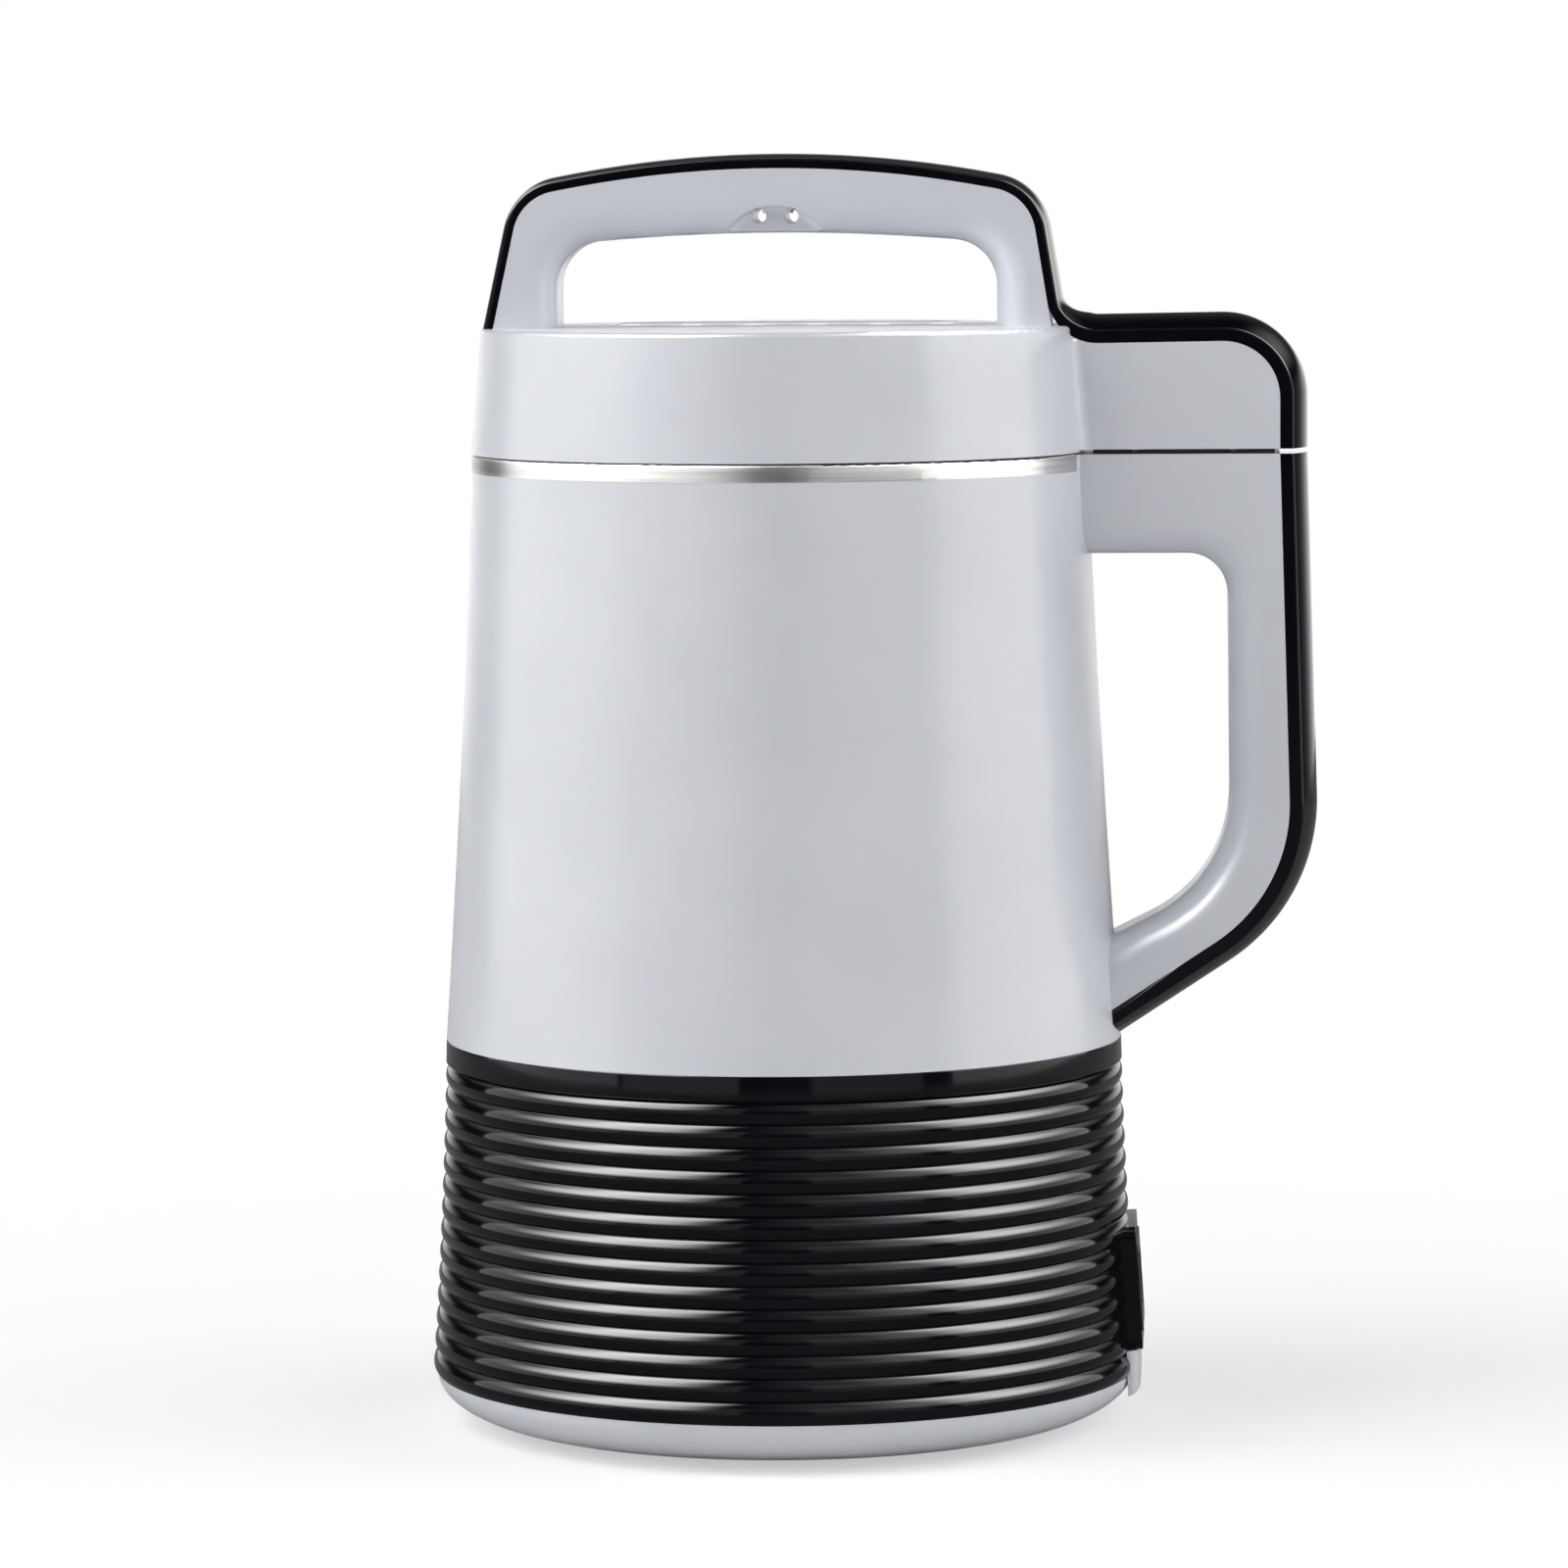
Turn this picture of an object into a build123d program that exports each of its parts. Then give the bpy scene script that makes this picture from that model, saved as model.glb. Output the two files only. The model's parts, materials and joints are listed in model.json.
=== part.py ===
# Herbal butter infuser: a heated steel jug with a motor head that lifts off.
#
# The frame's origin is the centre of the base, on the surface that the jug stands
# on. +X points to the jug handle and +Z is up. All sizes are in millimetres.
import os
from math import atan2, cos, hypot, pi, radians, sin, tan

from build123d import *

os.makedirs("parts", exist_ok=True)

# Driving dimensions: heights, from the table upwards
foot_proud = 1.0        # rubber ring below the bottom cover
edge_height = 12.8      # rounded edge of the bottom cover
skirt_height = 90.1     # black ribbed skirt
shell_height = 152.0    # grey jug wall
rim_height = 4.8        # bare steel band between jug and head
head_height = 33.3      # head wall, up to its flat deck
arch_height = 34.6      # deck to the shoulders of the carrying arch
arch_rise = 13.0        # shoulders to the point where the arch's two slopes would meet

# Driving dimensions: radii of the round body
flat_r = 68.0
edge_inset = 1.3        # rounded edge of the bottom cover, inside the skirt's foot
skirt_bottom_r = 95.3
skirt_top_r = 90.7
shell_top_r = 82.3
head_bottom_r = 82.5
deck_r = 79.8
base_r = skirt_bottom_r - edge_inset
skirt_hollow = 0.5      # how far the skirt's flare bows inwards
shell_hollow = 0.6      # how far the jug wall bows inwards

# Driving dimensions: handles
handle_width = 34.0
handle_reach = 51.0     # jug wall's top edge to the seat of the handle's strip
grip_depth = 15.6
arm_height = 28.6

# Walls, gaps and fits
wall = 2.5
sheet = 0.8
seat_gap = 0.3          # rest gap between the head and what it stands on
slide_gap = 0.5         # round the plug that drops into its socket
turn_gap = 0.03         # a shaft in its bearing, on the radius
overrun = 2.0           # how far a cut runs past the face that it starts from

# Levels that follow from the heights
cover_z = foot_proud
skirt_z = cover_z + edge_height
shell_z = skirt_z + skirt_height
rim_z = shell_z + shell_height
head_z = rim_z + rim_height
deck_z = head_z + head_height
cup_top_z = head_z - seat_gap


def bowed(share, bottom, top, hollow):
    """Radius of a flared wall, at a share of its height, with an inward bow."""
    return bottom + (top - bottom) * share - 4 * hollow * share * (1 - share)


def skirt_crest(z):
    """Radius of the line that the skirt's rib crests follow."""
    return bowed((z - skirt_z) / skirt_height, skirt_bottom_r, skirt_top_r, skirt_hollow)


def shell_radius(z):
    """Outer radius of the grey jug wall."""
    return bowed((z - shell_z) / shell_height, skirt_top_r, shell_top_r, shell_hollow)


# Bottom cover
lip_height = 4.0
lip_wall = 1.5
foot_groove_depth = 1.2
foot_width = 5.0
foot_r = flat_r - foot_width
screw_circle_r = 50.0
screw_r = 1.75
screw_head_r = 3.6
screw_head_height = 2.4
screw_length = 18.0
screw_well_wall = 2.0
screw_well_depth = 4.0
base_screw_count = 4
screw_turn = 45         # degrees from +X to the first screw, in the base and the head
full_turn = 360
half_turn = full_turn / 2
quarter_turn = full_turn / 4
hex_sides = 6

# Inlet panel on the skirt and the cover's lug below it
panel_width = 38.0
panel_height = 33.0
panel_bottom_z = 21.0
panel_proud = 0.7
panel_corner_r = 3.0
panel_depth = 9.0
lug_depth = 3.2
lug_height = 12.0
lug_gap = 0.1
panel_z = panel_bottom_z + panel_height / 2
panel_x = skirt_crest(panel_z) + panel_proud
panel_tilt = atan2(skirt_crest(panel_bottom_z) - skirt_crest(panel_bottom_z + panel_height), panel_height)
panel_plane = Plane(
    origin=(panel_x, 0, panel_z), x_dir=(0, panel_height, 0), z_dir=(cos(panel_tilt), 0, sin(panel_tilt)))

# Power inlet socket
inlet_width = 27.0
inlet_height = 19.8
inlet_length = 24.0
inlet_rim_width = 31.0
inlet_rim_height = 24.0
inlet_rim = 1.6
inlet_mouth_width = 24.2
inlet_mouth_height = 16.4
inlet_mouth_depth = 17.0
inlet_bevel = 3.5
inlet_pin_width = 4.0
inlet_pin_thickness = 2.0
inlet_pin_reach = 11.0
inlet_pin_tail = 8.0
inlet_pin_spread = 7.0
inlet_pin_rise = 2.5

# Skirt
rib_count = 14
rib_pitch = 5.95
rib_relief = 1.2
web_height = 52.2       # skirt's bottom edge to the underside of the plate inside it
web_thickness = 2.5
web_bore_r = 40.0
web_ledge = 2.5
post_r = 5.0
joint_height = 6.0      # lip of the grey wall inside the skirt
web_z = skirt_z + web_height
skirt_inner_bottom_r = skirt_bottom_r - rib_relief - wall
skirt_inner_top_r = skirt_top_r - rib_relief - wall
web_share = web_height / skirt_height
web_seat_r = skirt_inner_bottom_r + (skirt_inner_top_r - skirt_inner_bottom_r) * web_share
web_top_share = (web_height + web_thickness) / skirt_height
web_r = skirt_inner_bottom_r + (skirt_inner_top_r - skirt_inner_bottom_r) * web_top_share - lug_gap

# Steel cup
cup_mouth_r = 74.0
cup_floor_r = 66.0
cup_floor_height = 71.2     # skirt's bottom edge to the inside of the cup's floor
cup_corner_r = 8.0
weld_gap = 0.05
rim_overhang = 0.1
rim_r = shell_top_r + rim_overhang
cup_floor_z = skirt_z + cup_floor_height
cup_weld_r = cup_floor_r - cup_corner_r

# Heater under the cup
plate_r = 60.0
plate_thickness = 4.0
element_r = 46.0
element_tube_r = 3.5
element_sweep = 300.0
element_pin_inset = 2.0     # degrees from each end of the ring to its pin
element_pin_r = 2.0
element_pin_length = 7.0
stud_circle_r = 54.0
stud_r = 2.5
stud_count = 3
stud_turn = 90
stud_tail = 9.0
nut_height = 4.5
nut_r = 4.6
spacer_r = 4.0
thermostat_r = 8.0
thermostat_height = 8.0
tag_width = 5.0
tag_length = 7.0
bracket_span = 28.0
bracket_width = 10.0
bracket_foot = 7.0
plate_z = cup_floor_z - sheet - plate_thickness

# Jug handle
block_drop = 0.6        # top of the handle block below the head's bottom edge
arm_gap = 1.3           # slot between the handle block and the head's arm
strip_side = 3.3
strip_crown = 4.2
strip_round = 0.7
handle_lean = 3.1       # how much further out the grip is at its lower bend
grip_height = 116.4     # block top to the lower bend's corner
tail_drop = 31.8        # lower bend's corner down to the foot of the handle
tail_reach = 48.5       # lower bend's corner in to the foot of the handle
bend_r = 44.0
opening_top_r = 10.5
opening_bend_r = 38.0
opening_bend_rise = 3.3     # the opening's lower corner above the handle's lower bend
opening_drop = 15.4
opening_reach = 31.0    # run over which the opening's foot drops by that much
block_height = 26.6
grip_round = 9.0
blend_r = 4.0           # hollow blend between the jug wall and the handle block
ledge_depth = 5.0       # inner ledge under the cup's rim
block_top_z = head_z - block_drop
arm_z = block_top_z + arm_gap
grip_x = shell_top_r + handle_reach
bend_x = grip_x + handle_lean
bend_z = block_top_z - grip_height
tail_x = bend_x - tail_reach
tail_z = bend_z - tail_drop
tail_slope = tail_drop / tail_reach
handle_root_x = shell_top_r - wall - overrun * 2

# Coupler between the handle and the head's arm
coupler_inset = 25.4
coupler_x = grip_x - coupler_inset
plug_length = 22.0
plug_width = 14.0
plug_drop = 8.0
plug_shoulder = 2.0
plug_height = 11.0
coupler_pin_r = 1.5
coupler_pin_pitch = 5.5
coupler_pin_count = 4
coupler_pin_reach = 6.4
contact_wall = 0.8
contact_height = 8.0
socket_wall = 2.6
socket_depth = 21.0
flange_length = 48.0
flange_width = 28.0
flange_thickness = 1.0
flange_sink = 1.0
flange_slot = 1.5
flange_slot_spread = 13.1

# Head
arch_foot_inset = 4.8
arch_shoulder_inset = 12.4
arch_knee_inset = 6.0
arch_foot_x = deck_r - arch_foot_inset
arch_shoulder_x = deck_r - arch_shoulder_inset
arch_knee_x = deck_r - arch_knee_inset
arch_corner_r = 13.0
arch_top_share = 0.85   # share of each slope that the top arc takes
knee_r = 13.5
arm_corner_r = 15.0
arm_rise = 0.7
arch_strip_side = 2.2
arch_strip_crown = 1.8
arch_inner_x = 58.4
arch_inner_height = 22.2
arch_inner_rise = 4.2
arch_inner_r = 12.0
arch_round = 9.0
deck_thickness = 4.0
deck_round = 1.3
dish_r = 16.3
dish_rise = 14.5
dish_depth = 6.0
eyelet_r = 2.0
eyelet_flare_r = 2.8
eyelet_flare_depth = 0.6
eyelet_spread = 4.3
eyelet_rise = 28.9
arch_screw_x = 66.5
arch_screw_y = 9.0
arch_screw_length = 15.0
arm_seat_z = arm_z + arm_height
shoulder_z = deck_z + arch_height
overall_arch = arch_height + arch_rise
slope_length = hypot(arch_shoulder_x, arch_rise)
arch_top_r = arch_top_share * slope_length / tan(atan2(arch_rise, arch_shoulder_x))

# Control panel on the far half of the deck
fascia_length = 92.0
fascia_width = 36.0
fascia_thickness = 2.0
fascia_y = 38.0
fascia_corner_r = 6.0
fascia_gap = 0.2
fascia_border = 5.0
button_count = 5
button_end = 12.0       # the fascia's ends to the middle of the last button
button_edge = 12.0      # the fascia's near edge to the row of buttons
button_r = 5.5
button_collar_r = 6.8
button_collar = 1.2
button_stem_r = 2.0
button_stem = 1.8
button_travel = 1.0
button_gap = 0.3
lamp_count = 8
lamp_end = 12.75
lamp_edge = 10.0
lamp_r = 1.5
fascia_z = deck_z - fascia_thickness - fascia_gap
button_pitch = (fascia_length - 2 * button_end) / (button_count - 1)
button_y = fascia_y - fascia_width / 2 + button_edge
lamp_pitch = (fascia_length - 2 * lamp_end) / (lamp_count - 1)
lamp_y = fascia_y + fascia_width / 2 - lamp_edge

# Head base, steel bowl and sleeve
base_plate = 2.5
spigot_r = 72.6
spigot_height = 12.0
gasket_height = 5.0
bowl_r = 59.0
bowl_depth = 55.0
bowl_round = 12.0
bowl_flange = 2.5
head_screw_circle_r = 66.0
head_screw_length = 12.0
head_post_r = 3.5
sleeve_r = 10.0
sleeve_wall = 1.2
sleeve_length = 93.0
sleeve_bore_r = sleeve_r - sleeve_wall
head_plate_z = arm_z
bowl_top_z = head_plate_z + base_plate
bowl_z = bowl_top_z - bowl_depth
sleeve_z = bowl_z - sleeve_length

# Motor
shaft_r = 4.0
bearing_r = 11.0
bearing_height = 7.0
bearing_cup_wall = 2.0
frame_plate = 3.0
frame_half = 31.0
frame_corner_r = 9.0
motor_bolt_spread = 24.0
motor_bolt_r = 2.0
motor_leg_r = 4.0
bridge_angle = 45
fan_r = 26.0
fan_height = 6.0
fan_blades = 9
fan_blade = 1.2
fan_hub_r = 7.0
stack_height = 26.0
stack_bore_r = 18.5
coil_height = 6.0
coil_inner_r = 21.0
coil_outer_r = 29.5
air_gap = 0.5
commutator_r = 10.0
commutator_height = 13.0
brush_width = 6.0
brush_length = 20.0
brush_gap = 0.3
rotor_slots = 12
slot_depth = 3.5
slot_width = 2.2
level_gap = 1.5         # end gaps between the turning and the standing motor parts
frame_z = bowl_z + sheet
bearing_z = frame_z + frame_plate / 2
fan_z = bearing_z + bearing_height + level_gap
stack_z = fan_z + fan_height + level_gap + coil_height
commutator_z = stack_z + stack_height + level_gap
brush_z = stack_z + stack_height + coil_height + level_gap
bridge_z = commutator_z + commutator_height + level_gap
top_bearing_z = bridge_z + frame_plate / 2

# Blade end
bush_height = 8.0
seal_height = 4.0
blade_r = 25.0
blade_thickness = 1.5
blade_width = 11.0
blade_hub_r = 7.0
blade_bend_r = 12.0
blade_lift = 7.0
blade_nut_height = 6.0
blade_nut_r = 6.0
blade_drop = 5.0
blade_tip_width = 6.0
blade_z = sleeve_z - blade_drop - blade_thickness

# Boards
board_thickness = 1.6
board_r = 62.0
board_bore_r = 15.0
board_post_r = 3.0
board_drop = 4.4
board_post_circle_r = 56.0
board_screw_r = 1.25
board_screw_head = 1.8
board_post_angles = (0, 180, 240, 300)
switch_size = 6.0
power_board_length = 66.0
power_board_height = 36.0
power_board_y = 42.0
relay_size = 16.0
relay_height = 14.0
transformer_size = 26.0
power_depth = 7.5
board_z = deck_z - deck_thickness - board_drop - board_thickness

# Probes in the cup
probe_r = 2.5
probe_length = 80.0
level_probe_length = 30.0
probe_circle_r = 41.0
probe_collar_r = 5.0
probe_collar = 4.0


# Bottom cover: flat floor, rounded edge, lip inside the skirt and the inlet lug
with BuildPart() as bottom_cover:
    with BuildSketch(Plane.XZ):
        with BuildLine():
            outer_edge = EllipticalCenterArc(
                (flat_r, skirt_z), base_r - flat_r, edge_height,
                start_angle=-quarter_turn, arc_size=quarter_turn)
            inner_edge = EllipticalCenterArc(
                (flat_r, skirt_z), base_r - flat_r - wall, edge_height - wall,
                start_angle=-quarter_turn, arc_size=quarter_turn)
            Line(outer_edge @ 1, inner_edge @ 1)
            Polyline(inner_edge @ 0, (0, cover_z + wall), (0, cover_z), outer_edge @ 0)
        make_face()
    revolve(axis=Axis.Z)
    lip_r = skirt_inner_bottom_r - seat_gap
    with BuildSketch(Plane.XY.offset(skirt_z - lip_height)):
        Circle(lip_r)
        Circle(lip_r - lip_wall, mode=Mode.SUBTRACT)
    extrude(amount=lip_height * 2)
    with BuildSketch(panel_plane):
        with Locations((0, -(panel_height + lug_height) / 2 - lug_gap)):
            Rectangle(panel_width, lug_height)
    extrude(amount=-lug_depth)
    with BuildSketch(Plane.XY.offset(cover_z)):
        Circle(foot_r + foot_width / 2)
        Circle(foot_r - foot_width / 2, mode=Mode.SUBTRACT)
    extrude(amount=foot_groove_depth, mode=Mode.SUBTRACT)
    with BuildSketch(Plane.XY.offset(cover_z)):
        with PolarLocations(screw_circle_r, base_screw_count, start_angle=screw_turn):
            Circle(screw_head_r + screw_well_wall)
    extrude(amount=screw_well_depth + screw_well_wall)
    with Locations(Plane(origin=(0, 0, cover_z), z_dir=(0, 0, -1))):
        with PolarLocations(screw_circle_r, base_screw_count, start_angle=screw_turn):
            CounterBoreHole(screw_r + lug_gap, screw_head_r + lug_gap, screw_well_depth)
bottom_cover.part.label = "bottom_cover"
export_step(bottom_cover.part, "parts/bottom_cover.step")

# Rubber ring that the jug stands on
with BuildPart() as foot_ring:
    with BuildSketch(Plane.XY):
        Circle(foot_r + foot_width / 2)
        Circle(foot_r - foot_width / 2, mode=Mode.SUBTRACT)
    extrude(amount=foot_proud + foot_groove_depth)
foot_ring.part.label = "foot_ring"
export_step(foot_ring.part, "parts/foot_ring.step")

# Ribbed skirt with the inlet panel and a ledge inside
rib_top_z = skirt_z + rib_count * rib_pitch
with BuildPart() as base_skirt:
    with BuildSketch(Plane.XZ):
        with BuildLine():
            for rib in range(rib_count):
                low = skirt_z + rib * rib_pitch
                middle = low + rib_pitch / 2
                high = low + rib_pitch
                ThreePointArc(
                    (skirt_crest(low) - rib_relief, low),
                    (skirt_crest(middle), middle),
                    (skirt_crest(high) - rib_relief, high))
            Polyline(
                (skirt_crest(rib_top_z) - rib_relief, rib_top_z),
                (skirt_crest(rib_top_z), rib_top_z),
                (skirt_top_r, shell_z),
                (skirt_inner_top_r, shell_z),
                (web_seat_r, web_z),
                (web_seat_r - web_ledge, web_z),
                (web_seat_r - web_ledge, web_z - web_ledge),
                (web_seat_r, web_z - web_ledge * 2),
                (skirt_inner_bottom_r, skirt_z),
                (skirt_crest(skirt_z) - rib_relief, skirt_z))
        make_face()
    revolve(axis=Axis.Z)
    with BuildSketch(panel_plane):
        with Locations((0, -(panel_height + lug_height) / 2 - lug_gap)):
            Rectangle(panel_width + 2 * lug_gap, lug_height + 2 * lug_gap)
    extrude(amount=-lug_depth - lug_gap, mode=Mode.SUBTRACT)
    with BuildSketch(panel_plane):
        RectangleRounded(panel_width, panel_height, panel_corner_r)
    extrude(amount=-panel_depth)
    with BuildSketch(panel_plane.offset(overrun)):
        Rectangle(inlet_width, inlet_height)
    extrude(amount=-panel_depth - 2 * overrun, mode=Mode.SUBTRACT)
base_skirt.part.label = "base_skirt"
export_step(base_skirt.part, "parts/base_skirt.step")

# Plate on the skirt's ledge, with the posts that the cover's screws pull on
post_bottom_z = cover_z + screw_well_depth + screw_well_wall
with BuildPart() as support_plate:
    with BuildSketch(Plane.XY.offset(web_z)):
        Circle(web_r)
        Circle(web_bore_r, mode=Mode.SUBTRACT)
        with PolarLocations(stud_circle_r, stud_count, start_angle=stud_turn):
            Circle(stud_r + seat_gap, mode=Mode.SUBTRACT)
    extrude(amount=web_thickness)
    with BuildSketch(Plane.XY.offset(post_bottom_z)):
        with PolarLocations(screw_circle_r, base_screw_count, start_angle=screw_turn):
            Circle(post_r)
    extrude(amount=web_z - post_bottom_z)
    with BuildSketch(Plane.XY.offset(post_bottom_z)):
        with PolarLocations(screw_circle_r, base_screw_count, start_angle=screw_turn):
            Circle(screw_r)
    extrude(amount=screw_length, mode=Mode.SUBTRACT)
support_plate.part.label = "support_plate"
export_step(support_plate.part, "parts/support_plate.step")

# Screws that hold the bottom cover to the posts
with BuildPart() as base_screws:
    with BuildSketch(Plane.XY.offset(cover_z + screw_well_depth - screw_head_height)):
        with PolarLocations(screw_circle_r, base_screw_count, start_angle=screw_turn):
            Circle(screw_head_r)
    extrude(amount=screw_head_height)
    with BuildSketch(Plane.XY.offset(cover_z + screw_well_depth)):
        with PolarLocations(screw_circle_r, base_screw_count, start_angle=screw_turn):
            Circle(screw_r)
    extrude(amount=screw_length)
base_screws.part.label = "base_screws"
export_step(base_screws.part, "parts/base_screws.step")

# Power inlet: rim on the panel, body through it, six-sided mouth
with BuildPart() as inlet_socket:
    with BuildSketch(panel_plane):
        Rectangle(inlet_rim_width, inlet_rim_height)
        fillet(vertices(), inlet_rim)
    extrude(amount=inlet_rim)
    with BuildSketch(panel_plane):
        Rectangle(inlet_width - 2 * lug_gap, inlet_height - 2 * lug_gap)
    extrude(amount=-inlet_length)
    with BuildSketch(panel_plane.offset(inlet_rim)):
        Rectangle(inlet_mouth_width, inlet_mouth_height)
        chamfer(vertices().group_by(Axis.Y)[0], inlet_bevel)
    extrude(amount=-inlet_mouth_depth, mode=Mode.SUBTRACT)
inlet_socket.part.label = "inlet_socket"
export_step(inlet_socket.part, "parts/inlet_socket.step")

# Three flat pins of the inlet, with solder tails behind
inlet_floor = inlet_rim - inlet_mouth_depth
inlet_pin_places = [
    (-inlet_pin_spread, -inlet_pin_rise), (0, inlet_pin_rise), (inlet_pin_spread, -inlet_pin_rise)]
with BuildPart() as inlet_pins:
    with BuildSketch(panel_plane.offset(inlet_floor)):
        with Locations(*inlet_pin_places):
            Rectangle(inlet_pin_thickness, inlet_pin_width)
    extrude(amount=inlet_pin_reach)
    with BuildSketch(panel_plane.offset(-inlet_length)):
        with Locations(*inlet_pin_places):
            Rectangle(inlet_pin_thickness, inlet_pin_width)
    extrude(amount=-inlet_pin_tail)
inlet_pins.part.label = "inlet_pins"
export_step(inlet_pins.part, "parts/inlet_pins.step")


def handle_face():
    """Side outline of the jug handle, block and grip, rooted inside the wall."""
    with BuildLine() as outline:
        seat = FilletPolyline(
            (grip_x, block_top_z), (bend_x, bend_z), (tail_x - overrun, tail_z - overrun * tail_slope),
            radius=bend_r)
        Polyline(seat @ 1, (handle_root_x, tail_z), (handle_root_x, block_top_z), seat @ 0)
    return make_face(outline.line.edges())


# Grey jug wall, moulded in one with the handle
block_z = block_top_z - block_height
opening_x = grip_x - grip_depth + handle_lean / 2
opening_bend_x = opening_x + handle_lean / 4
opening_bend_z = bend_z + opening_bend_rise
opening_root_x = shell_top_r - wall
opening_root_z = opening_bend_z - opening_drop * (opening_bend_x - opening_root_x) / opening_reach
shell_inner_bottom_r = skirt_top_r - wall
shell_inner_top_r = shell_top_r - wall
shell_middle_z = shell_z + shell_height / 2
joint_r = skirt_inner_top_r - lug_gap
rim_inner_r = rim_r - sheet
rim_seat_r = cup_mouth_r + sheet + seat_gap
rim_seat_z = cup_top_z - sheet
ledge_z = rim_z - ledge_depth
notch_half = handle_width / 2 + blend_r
with BuildPart() as jug_shell:
    with BuildSketch(Plane.XZ):
        handle_face()
        with BuildLine():
            inside = FilletPolyline(
                (opening_root_x, block_z), (opening_x, block_z), (opening_bend_x, opening_bend_z),
                (opening_root_x, opening_root_z), radius=[opening_top_r, opening_bend_r])
            Line(inside @ 1, inside @ 0)
        make_face(mode=Mode.SUBTRACT)
    extrude(amount=handle_width / 2, both=True)
    opening_low_z = (opening_root_z + opening_bend_z) / 2 - opening_drop
    opening_edges = edges().filter_by(
        lambda edge: abs(edge.center().Y) > handle_width / 3
        and opening_low_z < edge.center().Z < block_top_z - overrun
        and opening_root_x + overrun < edge.center().X < opening_x + overrun)
    fillet(opening_edges, grip_round)
    with BuildSketch(Plane.XZ):
        with BuildLine():
            core = ThreePointArc(
                (skirt_top_r - lip_wall, shell_z), (shell_radius(shell_middle_z) - lip_wall, shell_middle_z),
                (shell_top_r - lip_wall, rim_z))
            Polyline(
                core @ 1, (shell_top_r - lip_wall, head_z + overrun), (0, head_z + overrun),
                (0, shell_z), core @ 0)
        make_face()
    revolve(axis=Axis.Z, mode=Mode.SUBTRACT)
    with BuildSketch(Plane.XZ):
        with BuildLine():
            outside = ThreePointArc(
                (skirt_top_r, shell_z), (shell_radius(shell_middle_z), shell_middle_z), (shell_top_r, rim_z))
            inner = ThreePointArc(
                (shell_inner_top_r, ledge_z - wall), (shell_radius(shell_middle_z) - wall, shell_middle_z),
                (shell_inner_bottom_r, shell_z + wall * 2))
            Polyline(
                outside @ 1, (rim_inner_r - lug_gap, rim_z), (rim_inner_r - lug_gap, rim_seat_z),
                (rim_seat_r, rim_seat_z), (rim_seat_r, ledge_z), inner @ 0)
            Polyline(
                inner @ 1, (joint_r - wall, shell_z + wall), (joint_r - wall, shell_z - joint_height),
                (joint_r, shell_z - joint_height), (joint_r, shell_z), outside @ 0)
        make_face()
    revolve(axis=Axis.Z)
    with BuildSketch(Plane.XY.offset(block_z + grip_round)):
        Circle(shell_top_r)
        with Locations((grip_x - handle_reach / 2, 0)):
            Rectangle(handle_reach, handle_width)
        block_corners = vertices().filter_by(
            lambda corner: abs(corner.Y) > handle_width / 3 and corner.X < shell_top_r)
        fillet(block_corners, blend_r)
        Circle(shell_top_r - lip_wall, mode=Mode.SUBTRACT)
        with Locations((grip_x / 2, 0)):
            Rectangle(grip_x, 2 * notch_half, mode=Mode.INTERSECT)
    extrude(amount=block_height - grip_round)
    with BuildSketch(Plane.XY.offset(block_top_z)):
        with Locations((coupler_x, 0)):
            Rectangle(flange_length + 2 * lug_gap, flange_width + 2 * lug_gap)
    extrude(amount=-flange_sink, mode=Mode.SUBTRACT)
    with BuildSketch(Plane.XY.offset(block_top_z)):
        with Locations((coupler_x, 0)):
            Rectangle(plug_length + 2 * socket_wall, plug_width + 2 * socket_wall)
    extrude(amount=-socket_depth, mode=Mode.SUBTRACT)
jug_shell.part.label = "jug_shell"
export_step(jug_shell.part, "parts/jug_shell.step")


# Black strip over the back of the jug handle, crowned across its width
with BuildLine(Plane.XZ) as grip_seat:
    FilletPolyline(
        (grip_x - handle_lean * overrun / grip_height, block_top_z + overrun), (bend_x, bend_z),
        (tail_x - overrun, tail_z - overrun * tail_slope), radius=bend_r)


def strip_section(side, crown):
    """Cross-section of a strip: flat back, upright sides and a domed face."""
    half = handle_width / 2
    with BuildLine() as outline:
        Polyline((-half, side), (-half, 0), (half, 0), (half, side))
        ThreePointArc((half, side), (0, side + crown), (-half, side))
    make_face(outline.line.edges())
    ridges = vertices().group_by(Axis.Y)[-1]
    fillet(ridges, strip_round)


with BuildPart() as handle_strip:
    with BuildSketch(Plane(origin=grip_seat.line @ 0, x_dir=(0, 1, 0), z_dir=grip_seat.line % 0)):
        strip_section(strip_side, strip_crown)
    sweep(path=grip_seat.line)
    with BuildSketch(Plane.XZ):
        with BuildLine():
            outside = ThreePointArc(
                (skirt_top_r, shell_z), (shell_radius(shell_middle_z), shell_middle_z), (shell_top_r, rim_z))
            Polyline(outside @ 1, (0, rim_z), (0, shell_z), outside @ 0)
        make_face()
    revolve(axis=Axis.Z, mode=Mode.SUBTRACT)
    split(bisect_by=Plane.XY.offset(block_top_z), keep=Keep.BOTTOM)
handle_strip.part.label = "handle_strip"
export_step(handle_strip.part, "parts/handle_strip.step")

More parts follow.
